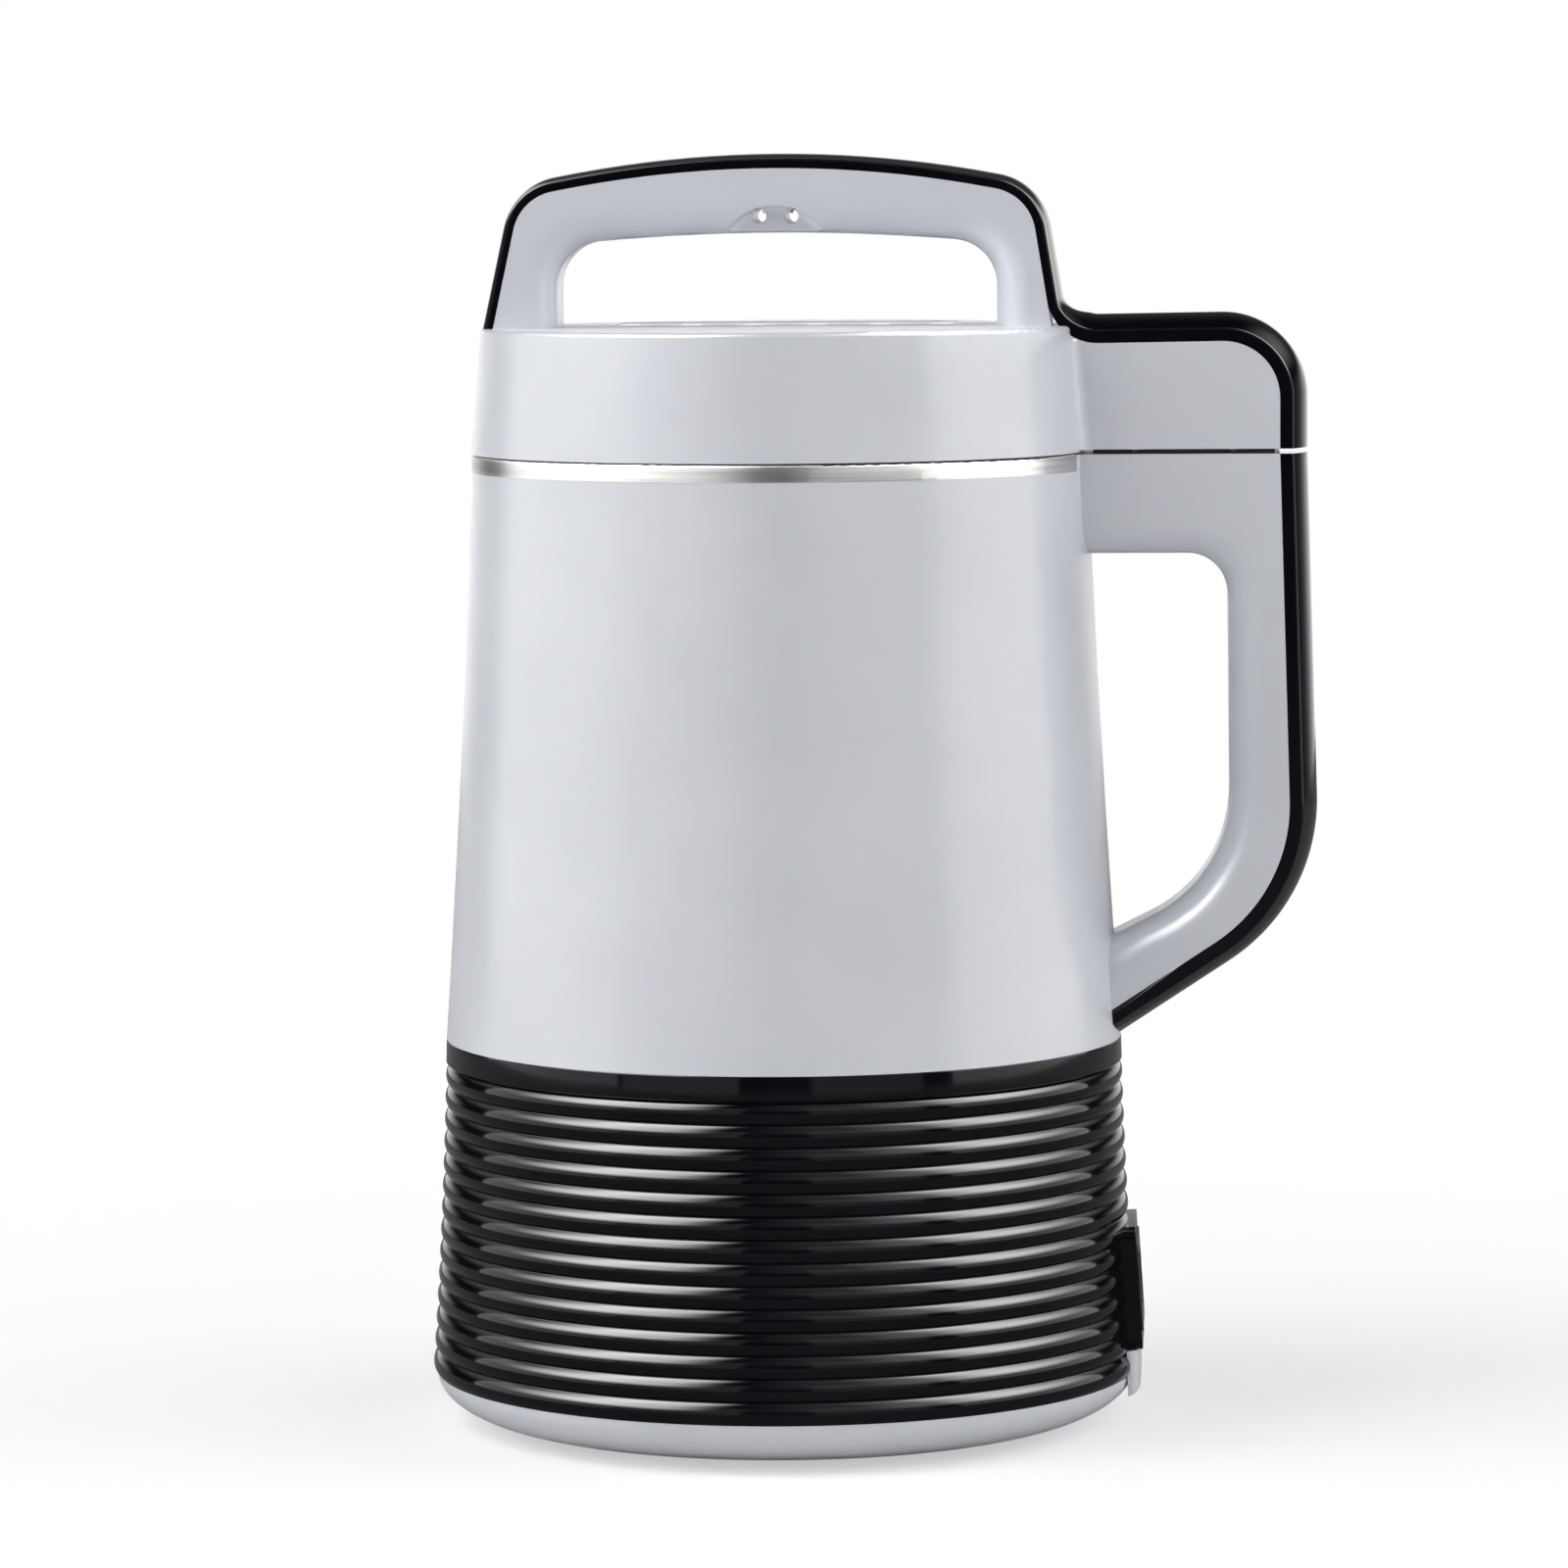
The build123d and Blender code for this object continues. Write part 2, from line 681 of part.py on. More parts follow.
# Deep-drawn steel cup; its turned-down rim is the bare band, cut away at the handle
cup_outer_r = cup_mouth_r + sheet
cup_base_r = cup_floor_r + sheet
cup_under_z = cup_floor_z - sheet
with BuildPart() as inner_cup:
    with BuildSketch(Plane.XZ):
        with BuildLine():
            FilletPolyline(
                (0, cup_under_z), (cup_base_r, cup_under_z),
                (cup_outer_r, rim_seat_z), (rim_inner_r, rim_seat_z),
                radius=[cup_corner_r + sheet, sheet / 4])
            Polyline(
                (rim_inner_r, rim_seat_z), (rim_inner_r, rim_z), (rim_r, rim_z), (rim_r, cup_top_z - sheet))
            ThreePointArc(
                (rim_r, cup_top_z - sheet),
                (rim_r - sheet + sheet * cos(pi / 4), cup_top_z - sheet + sheet * sin(pi / 4)),
                (rim_r - sheet, cup_top_z))
            FilletPolyline(
                (rim_r - sheet, cup_top_z), (cup_mouth_r, cup_top_z),
                (cup_floor_r, cup_floor_z), (0, cup_floor_z),
                radius=[sheet * 3 / 2, cup_corner_r])
            Line((0, cup_floor_z), (0, cup_under_z))
        make_face()
    revolve(axis=Axis.Z)
    with BuildSketch(Plane.XY.offset(rim_z - overrun)):
        with Locations((rim_seat_r + lug_gap + handle_reach / 2, 0)):
            Rectangle(handle_reach, 2 * notch_half)
    extrude(amount=rim_height + 2 * overrun, mode=Mode.SUBTRACT)
    with BuildSketch(Plane.XY.offset(cup_under_z - overrun)):
        Circle(cup_weld_r)
    extrude(amount=sheet + 2 * overrun, mode=Mode.SUBTRACT)
inner_cup.part.label = "inner_cup"
export_step(inner_cup.part, "parts/inner_cup.step")

# Floor disc welded into the cup's drawn wall
with BuildPart() as cup_floor:
    with BuildSketch(Plane.XY.offset(cup_under_z)):
        Circle(cup_weld_r - weld_gap)
    extrude(amount=sheet)
cup_floor.part.label = "cup_floor"
export_step(cup_floor.part, "parts/cup_floor.step")

# Aluminium plate under the cup
with BuildPart() as heater_plate:
    with BuildSketch(Plane.XY.offset(plate_z)):
        Circle(plate_r)
    extrude(amount=plate_thickness)
heater_plate.part.label = "heater_plate"
export_step(heater_plate.part, "parts/heater_plate.step")

# Tubular heating element: an open ring with two cold pins
element_gap = (full_turn - element_sweep) / 2
with BuildPart() as heating_element:
    with BuildLine(Plane.XY.offset(plate_z - element_tube_r)) as element_path:
        CenterArc((0, 0), element_r, element_gap, arc_size=element_sweep)
    with BuildSketch(Plane(origin=element_path.line @ 0, z_dir=element_path.line % 0)):
        Circle(element_tube_r)
    sweep(path=element_path.line)
    with BuildSketch(Plane.XY.offset(plate_z - element_tube_r)):
        with PolarLocations(
                element_r, 2, start_angle=element_gap + element_pin_inset,
                angular_range=element_sweep - 2 * element_pin_inset, endpoint=True):
            Circle(element_pin_r)
    extrude(amount=-element_pin_length)
heating_element.part.label = "heating_element"
export_step(heating_element.part, "parts/heating_element.step")

# Studs on the plate, their spacers and the nuts that clamp the cup to the web
web_top_z = web_z + web_thickness
with BuildPart() as clamp_studs:
    with BuildSketch(Plane.XY.offset(plate_z)):
        with PolarLocations(stud_circle_r, stud_count, start_angle=stud_turn):
            Circle(stud_r)
    extrude(amount=-(plate_z - web_z + stud_tail))
clamp_studs.part.label = "clamp_studs"
export_step(clamp_studs.part, "parts/clamp_studs.step")

with BuildPart() as stud_spacers:
    with BuildSketch(Plane.XY.offset(web_top_z)):
        with PolarLocations(stud_circle_r, stud_count, start_angle=stud_turn):
            Circle(spacer_r)
            Circle(stud_r, mode=Mode.SUBTRACT)
    extrude(amount=plate_z - web_top_z)
stud_spacers.part.label = "stud_spacers"
export_step(stud_spacers.part, "parts/stud_spacers.step")

with BuildPart() as clamp_nuts:
    with BuildSketch(Plane.XY.offset(web_z)):
        with PolarLocations(stud_circle_r, stud_count, start_angle=stud_turn):
            RegularPolygon(nut_r, hex_sides)
            Circle(stud_r, mode=Mode.SUBTRACT)
    extrude(amount=-nut_height)
clamp_nuts.part.label = "clamp_nuts"
export_step(clamp_nuts.part, "parts/clamp_nuts.step")

# Snap thermostat under the plate, with two solder tags
with BuildPart() as thermostat:
    with BuildSketch(Plane.XY.offset(plate_z)):
        Circle(thermostat_r)
    extrude(amount=-thermostat_height)
    with BuildSketch(Plane.XY.offset(plate_z - thermostat_height)):
        with Locations((0, tag_width), (0, -tag_width)):
            Rectangle(tag_width, sheet)
    extrude(amount=-tag_length)
thermostat.part.label = "thermostat"
export_step(thermostat.part, "parts/thermostat.step")

# Spring steel bridge that presses the thermostat up
bracket_z = plate_z - thermostat_height
with BuildPart() as thermostat_bracket:
    with BuildSketch(Plane.XZ):
        with BuildLine():
            Polyline(
                (-bracket_span - bracket_foot, plate_z), (-bracket_span - bracket_foot, plate_z - sheet),
                (-bracket_span, plate_z - sheet), (-bracket_span, bracket_z - sheet),
                (bracket_span, bracket_z - sheet), (bracket_span, plate_z - sheet),
                (bracket_span + bracket_foot, plate_z - sheet), (bracket_span + bracket_foot, plate_z),
                (bracket_span - sheet, plate_z), (bracket_span - sheet, bracket_z),
                (-bracket_span + sheet, bracket_z), (-bracket_span + sheet, plate_z), close=True)
        make_face()
    extrude(amount=bracket_width / 2, both=True)
    with BuildSketch(Plane.XY.offset(bracket_z)):
        with Locations((0, tag_width), (0, -tag_width)):
            Rectangle(tag_width + overrun, sheet + overrun)
    extrude(amount=-sheet - overrun, mode=Mode.SUBTRACT)
thermostat_bracket.part.label = "thermostat_bracket"
export_step(thermostat_bracket.part, "parts/thermostat_bracket.step")

# Coupler socket in the handle block: slotted flange, plug cavity, pin wells
socket_length = plug_length + 2 * socket_wall - 2 * lug_gap
socket_width = plug_width + 2 * socket_wall - 2 * lug_gap
cavity_z = arm_z - plug_drop - slide_gap
contact_r = coupler_pin_r + seat_gap
with BuildPart() as coupler_socket:
    with BuildSketch(Plane.XY.offset(block_top_z - flange_sink)):
        with Locations((coupler_x, 0)):
            Rectangle(flange_length, flange_width)
    extrude(amount=flange_sink + flange_thickness)
    with BuildSketch(Plane.XY.offset(block_top_z)):
        with Locations((coupler_x - flange_slot_spread, 0), (coupler_x + flange_slot_spread, 0)):
            Rectangle(flange_slot, flange_width)
    extrude(amount=flange_thickness, mode=Mode.SUBTRACT)
    with BuildSketch(Plane.XY.offset(block_top_z)):
        with Locations((coupler_x, 0)):
            Rectangle(socket_length, socket_width)
    extrude(amount=-socket_depth)
    with BuildSketch(Plane.XY.offset(cavity_z)):
        with Locations((coupler_x, 0)):
            Rectangle(plug_length + 2 * slide_gap, plug_width + 2 * slide_gap)
    extrude(amount=plug_drop + overrun, mode=Mode.SUBTRACT)
    with BuildSketch(Plane.XY.offset(cavity_z)):
        with Locations((coupler_x, 0)):
            with GridLocations(coupler_pin_pitch, coupler_pin_pitch, coupler_pin_count, 1):
                Circle(contact_r + contact_wall)
    extrude(amount=-contact_height, mode=Mode.SUBTRACT)
coupler_socket.part.label = "coupler_socket"
export_step(coupler_socket.part, "parts/coupler_socket.step")

with BuildPart() as coupler_contacts:
    with BuildSketch(Plane.XY.offset(cavity_z - slide_gap)):
        with Locations((coupler_x, 0)):
            with GridLocations(coupler_pin_pitch, coupler_pin_pitch, coupler_pin_count, 1):
                Circle(contact_r + contact_wall)
                Circle(contact_r, mode=Mode.SUBTRACT)
    extrude(amount=-contact_height + slide_gap)
coupler_contacts.part.label = "coupler_contacts"
export_step(coupler_contacts.part, "parts/coupler_contacts.step")


def head_face():
    """Side outline under the head's strip: arch, knee and arm, down to the arm's underside."""
    with BuildLine() as outline:
        seat = FilletPolyline(*head_seat_points, radius=head_seat_radii)
        Polyline(seat @ 1, (-arch_foot_x, arm_z), seat @ 0)
    return make_face(outline.line.edges())


head_seat_points = [
    (-arch_foot_x, deck_z), (-arch_shoulder_x, shoulder_z), (0, shoulder_z + arch_rise),
    (arch_shoulder_x, shoulder_z), (arch_knee_x, arm_seat_z - arm_rise),
    (grip_x, arm_seat_z), (grip_x, arm_z)]
head_seat_radii = [arch_corner_r, arch_top_r, arch_corner_r, knee_r, arm_corner_r]

# Black strip over arch, knee and arm; it thickens round the knee
with BuildLine(Plane.XZ) as head_seat:
    FilletPolyline(
        (-arch_foot_x - overrun * (arch_shoulder_x - arch_foot_x) / -arch_height, deck_z - overrun),
        *head_seat_points[1:-1], (grip_x, arm_z), radius=head_seat_radii)
seat_edges = head_seat.line.edges()
knee_edge = seat_edges.filter_by(
    lambda edge: edge.geom_type == GeomType.CIRCLE and abs(edge.radius - knee_r) < turn_gap)[0]
arch_path = Wire(seat_edges.filter_by(lambda edge: edge.center().X < knee_edge.center().X))
arm_path = Wire(seat_edges.filter_by(lambda edge: edge.center().X > knee_edge.center().X))
with BuildPart() as head_strip:
    with BuildSketch(Plane(origin=arch_path @ 0, x_dir=(0, 1, 0), z_dir=arch_path % 0)):
        strip_section(arch_strip_side, arch_strip_crown)
    sweep(path=arch_path)
    with BuildSketch(Plane(origin=knee_edge @ 0, x_dir=(0, 1, 0), z_dir=knee_edge % 0)):
        strip_section(arch_strip_side, arch_strip_crown)
    with BuildSketch(Plane(origin=knee_edge @ 1, x_dir=(0, 1, 0), z_dir=knee_edge % 1)):
        strip_section(strip_side, strip_crown)
    sweep(path=knee_edge, multisection=True)
    with BuildSketch(Plane(origin=arm_path @ 0, x_dir=(0, 1, 0), z_dir=arm_path % 0)):
        strip_section(strip_side, strip_crown)
    sweep(path=arm_path)
    with BuildSketch(Plane.XY.offset(deck_z)):
        with Locations((-deck_r, 0)):
            Rectangle(deck_r, handle_width + overrun)
    extrude(amount=-overrun * 2, mode=Mode.SUBTRACT)
head_strip.part.label = "head_strip"
export_step(head_strip.part, "parts/head_strip.step")

# Head housing: ring wall, deck and hollow arm
deck_under_z = deck_z - deck_thickness
head_inner_bottom_r = head_bottom_r - wall
head_inner_top_r = deck_r - wall
with BuildPart() as head_housing:
    with BuildSketch(Plane.XZ):
        head_face()
        with Locations((deck_r + handle_reach / 2, deck_z)):
            Rectangle(
                handle_reach * 2, deck_z - arm_z, align=(Align.CENTER, Align.MAX), mode=Mode.INTERSECT)
    extrude(amount=handle_width / 2, both=True)
    with BuildSketch(Plane.XZ):
        with BuildLine():
            Polyline((0, head_z), (head_bottom_r, head_z), (deck_r, deck_z - deck_round))
            ThreePointArc(
                (deck_r, deck_z - deck_round),
                (deck_r - deck_round + deck_round * cos(pi / 4),
                 deck_z - deck_round + deck_round * sin(pi / 4)),
                (deck_r - deck_round, deck_z))
            Polyline((deck_r - deck_round, deck_z), (0, deck_z), (0, head_z))
        make_face()
    revolve(axis=Axis.Z)
    crease = edges().filter_by(
        lambda edge: abs(abs(edge.center().Y) - handle_width / 2) < turn_gap
        and arch_foot_x < edge.center().X < head_bottom_r and edge.length > arm_height / 2)
    fillet(crease, blend_r)
    add(head_strip.part, mode=Mode.SUBTRACT)
    with BuildSketch(Plane.XZ):
        with BuildLine():
            Polyline(
                (0, head_z), (head_inner_bottom_r, head_z),
                (head_inner_top_r, deck_under_z), (0, deck_under_z), close=True)
        make_face()
    revolve(axis=Axis.Z, mode=Mode.SUBTRACT)
    with BuildSketch(Plane.XZ):
        with BuildLine():
            FilletPolyline(
                (board_r, arm_z - overrun), (board_r, arm_seat_z - arm_rise - wall),
                (grip_x - wall, arm_seat_z - wall), (grip_x - wall, arm_z - overrun),
                radius=[wall, arm_corner_r - wall], close=False)
            Line((grip_x - wall, arm_z - overrun), (board_r, arm_z - overrun))
        make_face()
    extrude(amount=handle_width / 2 - wall, both=True, mode=Mode.SUBTRACT)
    with BuildSketch(Plane.XY.offset(head_plate_z + base_plate)):
        with PolarLocations(head_screw_circle_r, base_screw_count, start_angle=screw_turn):
            Circle(head_post_r)
            Circle(screw_r, mode=Mode.SUBTRACT)
    extrude(amount=deck_under_z - head_plate_z - base_plate)
    with BuildSketch(Plane.XY.offset(board_z + board_thickness)):
        for angle in board_post_angles:
            with PolarLocations(board_post_circle_r, 1, start_angle=angle):
                Circle(board_post_r)
                Circle(board_screw_r, mode=Mode.SUBTRACT)
    extrude(amount=board_drop)
    with BuildSketch(Plane.XY.offset(deck_z)):
        with Locations((0, fascia_y)):
            RectangleRounded(fascia_length, fascia_width, fascia_corner_r)
    extrude(amount=-fascia_gap - fascia_thickness, mode=Mode.SUBTRACT)
    with BuildSketch(Plane.XY.offset(deck_z)):
        with Locations((0, fascia_y)):
            Rectangle(fascia_length - 2 * fascia_border, fascia_width - 2 * fascia_border)
        with GridLocations(2 * arch_screw_x, 2 * arch_screw_y, 2, 2):
            Circle(screw_r + lug_gap)
    extrude(amount=-deck_thickness, mode=Mode.SUBTRACT)
head_housing.part.label = "head_housing"
export_step(head_housing.part, "parts/head_housing.step")

# Grey carrying arch that stands on the deck
arch_inner_z = deck_z + arch_inner_height
arch_inner_slope = hypot(arch_inner_x, arch_inner_rise)
arch_inner_tilt = atan2(arch_inner_rise, arch_inner_x)
arch_inner_top_r = arch_top_share * (arch_inner_slope - arch_inner_r) / tan(arch_inner_tilt)
dish_z = deck_z + dish_rise
eyelet_z = deck_z + eyelet_rise
with BuildPart() as arch_handle:
    with BuildSketch(Plane.XZ):
        head_face()
        with Locations((0, deck_z)):
            Rectangle(2 * deck_r, overall_arch, align=(Align.CENTER, Align.MIN), mode=Mode.INTERSECT)
        with BuildLine():
            inside = FilletPolyline(
                (-arch_inner_x, deck_z), (-arch_inner_x, arch_inner_z), (0, arch_inner_z + arch_inner_rise),
                (arch_inner_x, arch_inner_z), (arch_inner_x, deck_z),
                radius=[arch_inner_r, arch_inner_top_r, arch_inner_r])
            Line(inside @ 1, inside @ 0)
        make_face(mode=Mode.SUBTRACT)
    extrude(amount=handle_width / 2, both=True)
    inner_edges = edges().filter_by(
        lambda edge: abs(abs(edge.center().Y) - handle_width / 2) < turn_gap
        and abs(edge.center().X) < arch_inner_x + overrun
        and deck_z + overrun < edge.center().Z < arch_inner_z + arch_inner_rise + overrun)
    fillet(inner_edges, arch_round)
    for side in (-1, 1):
        with BuildSketch(Plane.XZ.offset(side * handle_width / 2)):
            with Locations((0, dish_z)):
                Circle(dish_r)
        extrude(amount=-side * dish_depth, mode=Mode.SUBTRACT)
    with BuildSketch(Plane.XZ.offset(handle_width / 2)):
        with Locations((-eyelet_spread, eyelet_z), (eyelet_spread, eyelet_z)):
            Circle(eyelet_r)
    extrude(amount=-handle_width, mode=Mode.SUBTRACT)
    for side in (-1, 1):
        with BuildSketch(Plane.XZ.offset(side * (handle_width / 2 - dish_depth))):
            with Locations((-eyelet_spread, eyelet_z), (eyelet_spread, eyelet_z)):
                Circle(eyelet_flare_r)
        extrude(amount=-side * eyelet_flare_depth, mode=Mode.SUBTRACT)
    with BuildSketch(Plane.XY.offset(deck_z)):
        with GridLocations(2 * arch_screw_x, 2 * arch_screw_y, 2, 2):
            Circle(screw_r)
    extrude(amount=arch_screw_length - deck_thickness, mode=Mode.SUBTRACT)
arch_handle.part.label = "arch_handle"
export_step(arch_handle.part, "parts/arch_handle.step")

# Screws up through the deck into the arch's feet
with BuildPart() as arch_screws:
    with BuildSketch(Plane.XY.offset(deck_under_z)):
        with GridLocations(2 * arch_screw_x, 2 * arch_screw_y, 2, 2):
            Circle(screw_head_r)
    extrude(amount=-screw_head_height)
    with BuildSketch(Plane.XY.offset(deck_under_z)):
        with GridLocations(2 * arch_screw_x, 2 * arch_screw_y, 2, 2):
            Circle(screw_r)
    extrude(amount=arch_screw_length)
arch_screws.part.label = "arch_screws"
export_step(arch_screws.part, "parts/arch_screws.step")

# Control fascia set flush in the deck
button_places = [((step - (button_count - 1) / 2) * button_pitch, button_y) for step in range(button_count)]
with BuildPart() as fascia:
    with BuildSketch(Plane.XY.offset(fascia_z)):
        with Locations((0, fascia_y)):
            RectangleRounded(
                fascia_length - 2 * lug_gap, fascia_width - 2 * lug_gap, fascia_corner_r - lug_gap)
        with Locations(*button_places):
            Circle(button_r + button_gap, mode=Mode.SUBTRACT)
        with Locations((0, lamp_y)):
            with GridLocations(lamp_pitch, lamp_pitch, lamp_count, 1):
                Circle(lamp_r, mode=Mode.SUBTRACT)
    extrude(amount=fascia_thickness)
fascia.part.label = "fascia"
export_step(fascia.part, "parts/fascia.step")

with BuildPart() as lamp_windows:
    with BuildSketch(Plane.XY.offset(fascia_z)):
        with Locations((0, lamp_y)):
            with GridLocations(lamp_pitch, lamp_pitch, lamp_count, 1):
                Circle(lamp_r)
    extrude(amount=fascia_thickness)
lamp_windows.part.label = "lamp_windows"
export_step(lamp_windows.part, "parts/lamp_windows.step")

# Push buttons: cap through the fascia, collar under it, stem above the switch
for number, (button_x, row_y) in enumerate(button_places, start=1):
    with BuildPart() as button:
        with BuildSketch(Plane.XY.offset(fascia_z - button_gap)):
            with Locations((button_x, row_y)):
                Circle(button_collar_r)
        extrude(amount=-button_collar)
        with BuildSketch(Plane.XY.offset(fascia_z - button_gap)):
            with Locations((button_x, row_y)):
                Circle(button_r)
        extrude(amount=fascia_thickness + button_gap)
        fillet(edges().group_by(Axis.Z)[-1], button_gap)
        with BuildSketch(Plane.XY.offset(fascia_z - button_gap - button_collar)):
            with Locations((button_x, row_y)):
                Circle(button_stem_r)
        extrude(amount=-button_stem)
    button.part.label = f"button_{number}"
    export_step(button.part, f"parts/button_{number}.step")

# Head base: plate under the head and its arm, with the spigot that enters the cup
head_taper = (head_bottom_r - deck_r) / head_height
head_plate_r = head_inner_bottom_r - seat_gap - head_taper * (head_plate_z + base_plate - head_z)
spigot_z = cup_top_z - spigot_height
gasket_z = spigot_z + gasket_height / 2
with BuildPart() as head_base:
    with BuildSketch(Plane.XY.offset(head_plate_z)):
        Circle(head_plate_r)
        with Locations((grip_x / 2 - wall / 2 - seat_gap / 2, 0)):
            Rectangle(grip_x - wall - seat_gap, handle_width - 2 * wall - 2 * seat_gap)
        Circle(bowl_r + seat_gap, mode=Mode.SUBTRACT)
        with PolarLocations(head_screw_circle_r, base_screw_count, start_angle=screw_turn):
            Circle(screw_r + lug_gap, mode=Mode.SUBTRACT)
        with Locations((coupler_x, 0)):
            Rectangle(plug_length + 2 * lug_gap, plug_width + 2 * lug_gap, mode=Mode.SUBTRACT)
    extrude(amount=base_plate)
    with BuildSketch(Plane.XY.offset(spigot_z)):
        Circle(spigot_r)
        Circle(spigot_r - wall, mode=Mode.SUBTRACT)
    extrude(amount=head_plate_z - spigot_z + base_plate / 2)
    with BuildSketch(Plane.XY.offset(gasket_z)):
        Circle(spigot_r + overrun)
        Circle(spigot_r - wall / 2, mode=Mode.SUBTRACT)
    extrude(amount=gasket_height, mode=Mode.SUBTRACT)
head_base.part.label = "head_base"
export_step(head_base.part, "parts/head_base.step")

with BuildPart() as head_gasket:
    with BuildSketch(Plane.XY.offset(gasket_z)):
        Circle(cup_mouth_r - seat_gap * 3)
        Circle(spigot_r - wall / 2, mode=Mode.SUBTRACT)
    extrude(amount=gasket_height)
    lips = edges().filter_by(GeomType.CIRCLE).group_by(lambda edge: round(edge.radius))[-1]
    chamfer(lips, seat_gap)
head_gasket.part.label = "head_gasket"
export_step(head_gasket.part, "parts/head_gasket.step")

with BuildPart() as head_screws:
    with BuildSketch(Plane.XY.offset(head_plate_z)):
        with PolarLocations(head_screw_circle_r, base_screw_count, start_angle=screw_turn):
            Circle(screw_head_r)
    extrude(amount=-screw_head_height)
    with BuildSketch(Plane.XY.offset(head_plate_z)):
        with PolarLocations(head_screw_circle_r, base_screw_count, start_angle=screw_turn):
            Circle(screw_r)
    extrude(amount=head_screw_length)
head_screws.part.label = "head_screws"
export_step(head_screws.part, "parts/head_screws.step")

# Deep-drawn steel bowl round the motor, with the shaft's sleeve welded to its floor
with BuildPart() as motor_bowl:
    with BuildSketch(Plane.XZ):
        with BuildLine():
            FilletPolyline(
                (bowl_r + bowl_flange, bowl_top_z + sheet), (bowl_r - sheet, bowl_top_z + sheet),
                (bowl_r - sheet, bowl_z + sheet), (sleeve_bore_r, bowl_z + sheet),
                radius=[sheet, bowl_round - sheet])
            Polyline(
                (sleeve_bore_r, bowl_z + sheet), (sleeve_bore_r, sleeve_z),
                (sleeve_r, sleeve_z), (sleeve_r, bowl_z))
            FilletPolyline(
                (sleeve_r, bowl_z), (bowl_r, bowl_z),
                (bowl_r, bowl_top_z), (bowl_r + bowl_flange, bowl_top_z),
                radius=[bowl_round, sheet / 4])
            Line((bowl_r + bowl_flange, bowl_top_z), (bowl_r + bowl_flange, bowl_top_z + sheet))
        make_face()
    revolve(axis=Axis.Z)
    with BuildSketch(Plane.XY.offset(bowl_z)):
        with PolarLocations(probe_circle_r, 2):
            Circle(probe_r)
    extrude(amount=sheet, mode=Mode.SUBTRACT)
motor_bowl.part.label = "motor_bowl"
export_step(motor_bowl.part, "parts/motor_bowl.step")

# Probes through the bowl's floor: a long one for temperature, a short one for level
probes = (("temperature_probe", probe_length, 0), ("level_probe", level_probe_length, half_turn))
for name, reach, angle in probes:
    with BuildPart() as probe:
        with BuildSketch(Plane.XY.offset(bowl_z + sheet + probe_collar)):
            with PolarLocations(probe_circle_r, 1, start_angle=angle):
                Circle(probe_r)
        extrude(amount=-(probe_collar + sheet + reach))
        fillet(edges().group_by(Axis.Z)[0], probe_r / 2)
        with BuildSketch(Plane.XY.offset(bowl_z + sheet)):
            with PolarLocations(probe_circle_r, 1, start_angle=angle):
                RegularPolygon(probe_collar_r, hex_sides)
        extrude(amount=probe_collar)
        with BuildSketch(Plane.XY.offset(bowl_z)):
            with PolarLocations(probe_circle_r, 1, start_angle=angle):
                Circle(probe_collar_r)
        extrude(amount=-overrun)
    probe.part.label = name
    export_step(probe.part, f"parts/{name}.step")

# Motor's lower frame plate, with the cup of the lower bearing
with BuildPart() as motor_base:
    with BuildSketch(Plane.XY.offset(frame_z)):
        RectangleRounded(2 * frame_half, 2 * frame_half, frame_corner_r)
        Circle(sleeve_bore_r, mode=Mode.SUBTRACT)
        with GridLocations(2 * motor_bolt_spread, 2 * motor_bolt_spread, 2, 2):
            Circle(motor_bolt_r, mode=Mode.SUBTRACT)
    extrude(amount=frame_plate)
    with BuildSketch(Plane.XY.offset(frame_z)):
        with GridLocations(2 * motor_bolt_spread, 2 * motor_bolt_spread, 2, 2):
            Circle(motor_leg_r)
            Circle(motor_bolt_r, mode=Mode.SUBTRACT)
    extrude(amount=stack_z - frame_z)
    with BuildSketch(Plane.XY.offset(frame_z)):
        Circle(bearing_r + bearing_cup_wall)
        Circle(sleeve_bore_r, mode=Mode.SUBTRACT)
    extrude(amount=frame_plate / 2 + bearing_height)
    with BuildSketch(Plane.XY.offset(bearing_z)):
        Circle(bearing_r)
    extrude(amount=bearing_height, mode=Mode.SUBTRACT)
motor_base.part.label = "motor_base"
export_step(motor_base.part, "parts/motor_base.step")

# Motor's upper bridge, with the cup of the upper bearing
bridge_length = 2 * (hypot(motor_bolt_spread, motor_bolt_spread) + motor_leg_r)
with BuildPart() as motor_bridge:
    with BuildSketch(Plane.XY.offset(bridge_z)):
        for angle in (bridge_angle, -bridge_angle):
            with Locations(Rotation(0, 0, angle)):
                RectangleRounded(bridge_length, bearing_r, motor_leg_r)
        Circle(bearing_r + bearing_cup_wall)
        Circle(shaft_r + seat_gap, mode=Mode.SUBTRACT)
        with GridLocations(2 * motor_bolt_spread, 2 * motor_bolt_spread, 2, 2):
            Circle(motor_bolt_r, mode=Mode.SUBTRACT)
    extrude(amount=frame_plate)
    with BuildSketch(Plane.XY.offset(bridge_z)):
        with GridLocations(2 * motor_bolt_spread, 2 * motor_bolt_spread, 2, 2):
            Circle(motor_leg_r)
            Circle(motor_bolt_r, mode=Mode.SUBTRACT)
    extrude(amount=stack_z + stack_height - bridge_z)
    with BuildSketch(Plane.XY.offset(bridge_z + frame_plate)):
        Circle(bearing_r + bearing_cup_wall)
    extrude(amount=bearing_height - frame_plate / 2)
    with BuildSketch(Plane.XY.offset(top_bearing_z)):
        Circle(bearing_r)
    extrude(amount=bearing_height, mode=Mode.SUBTRACT)
motor_bridge.part.label = "motor_bridge"
export_step(motor_bridge.part, "parts/motor_bridge.step")

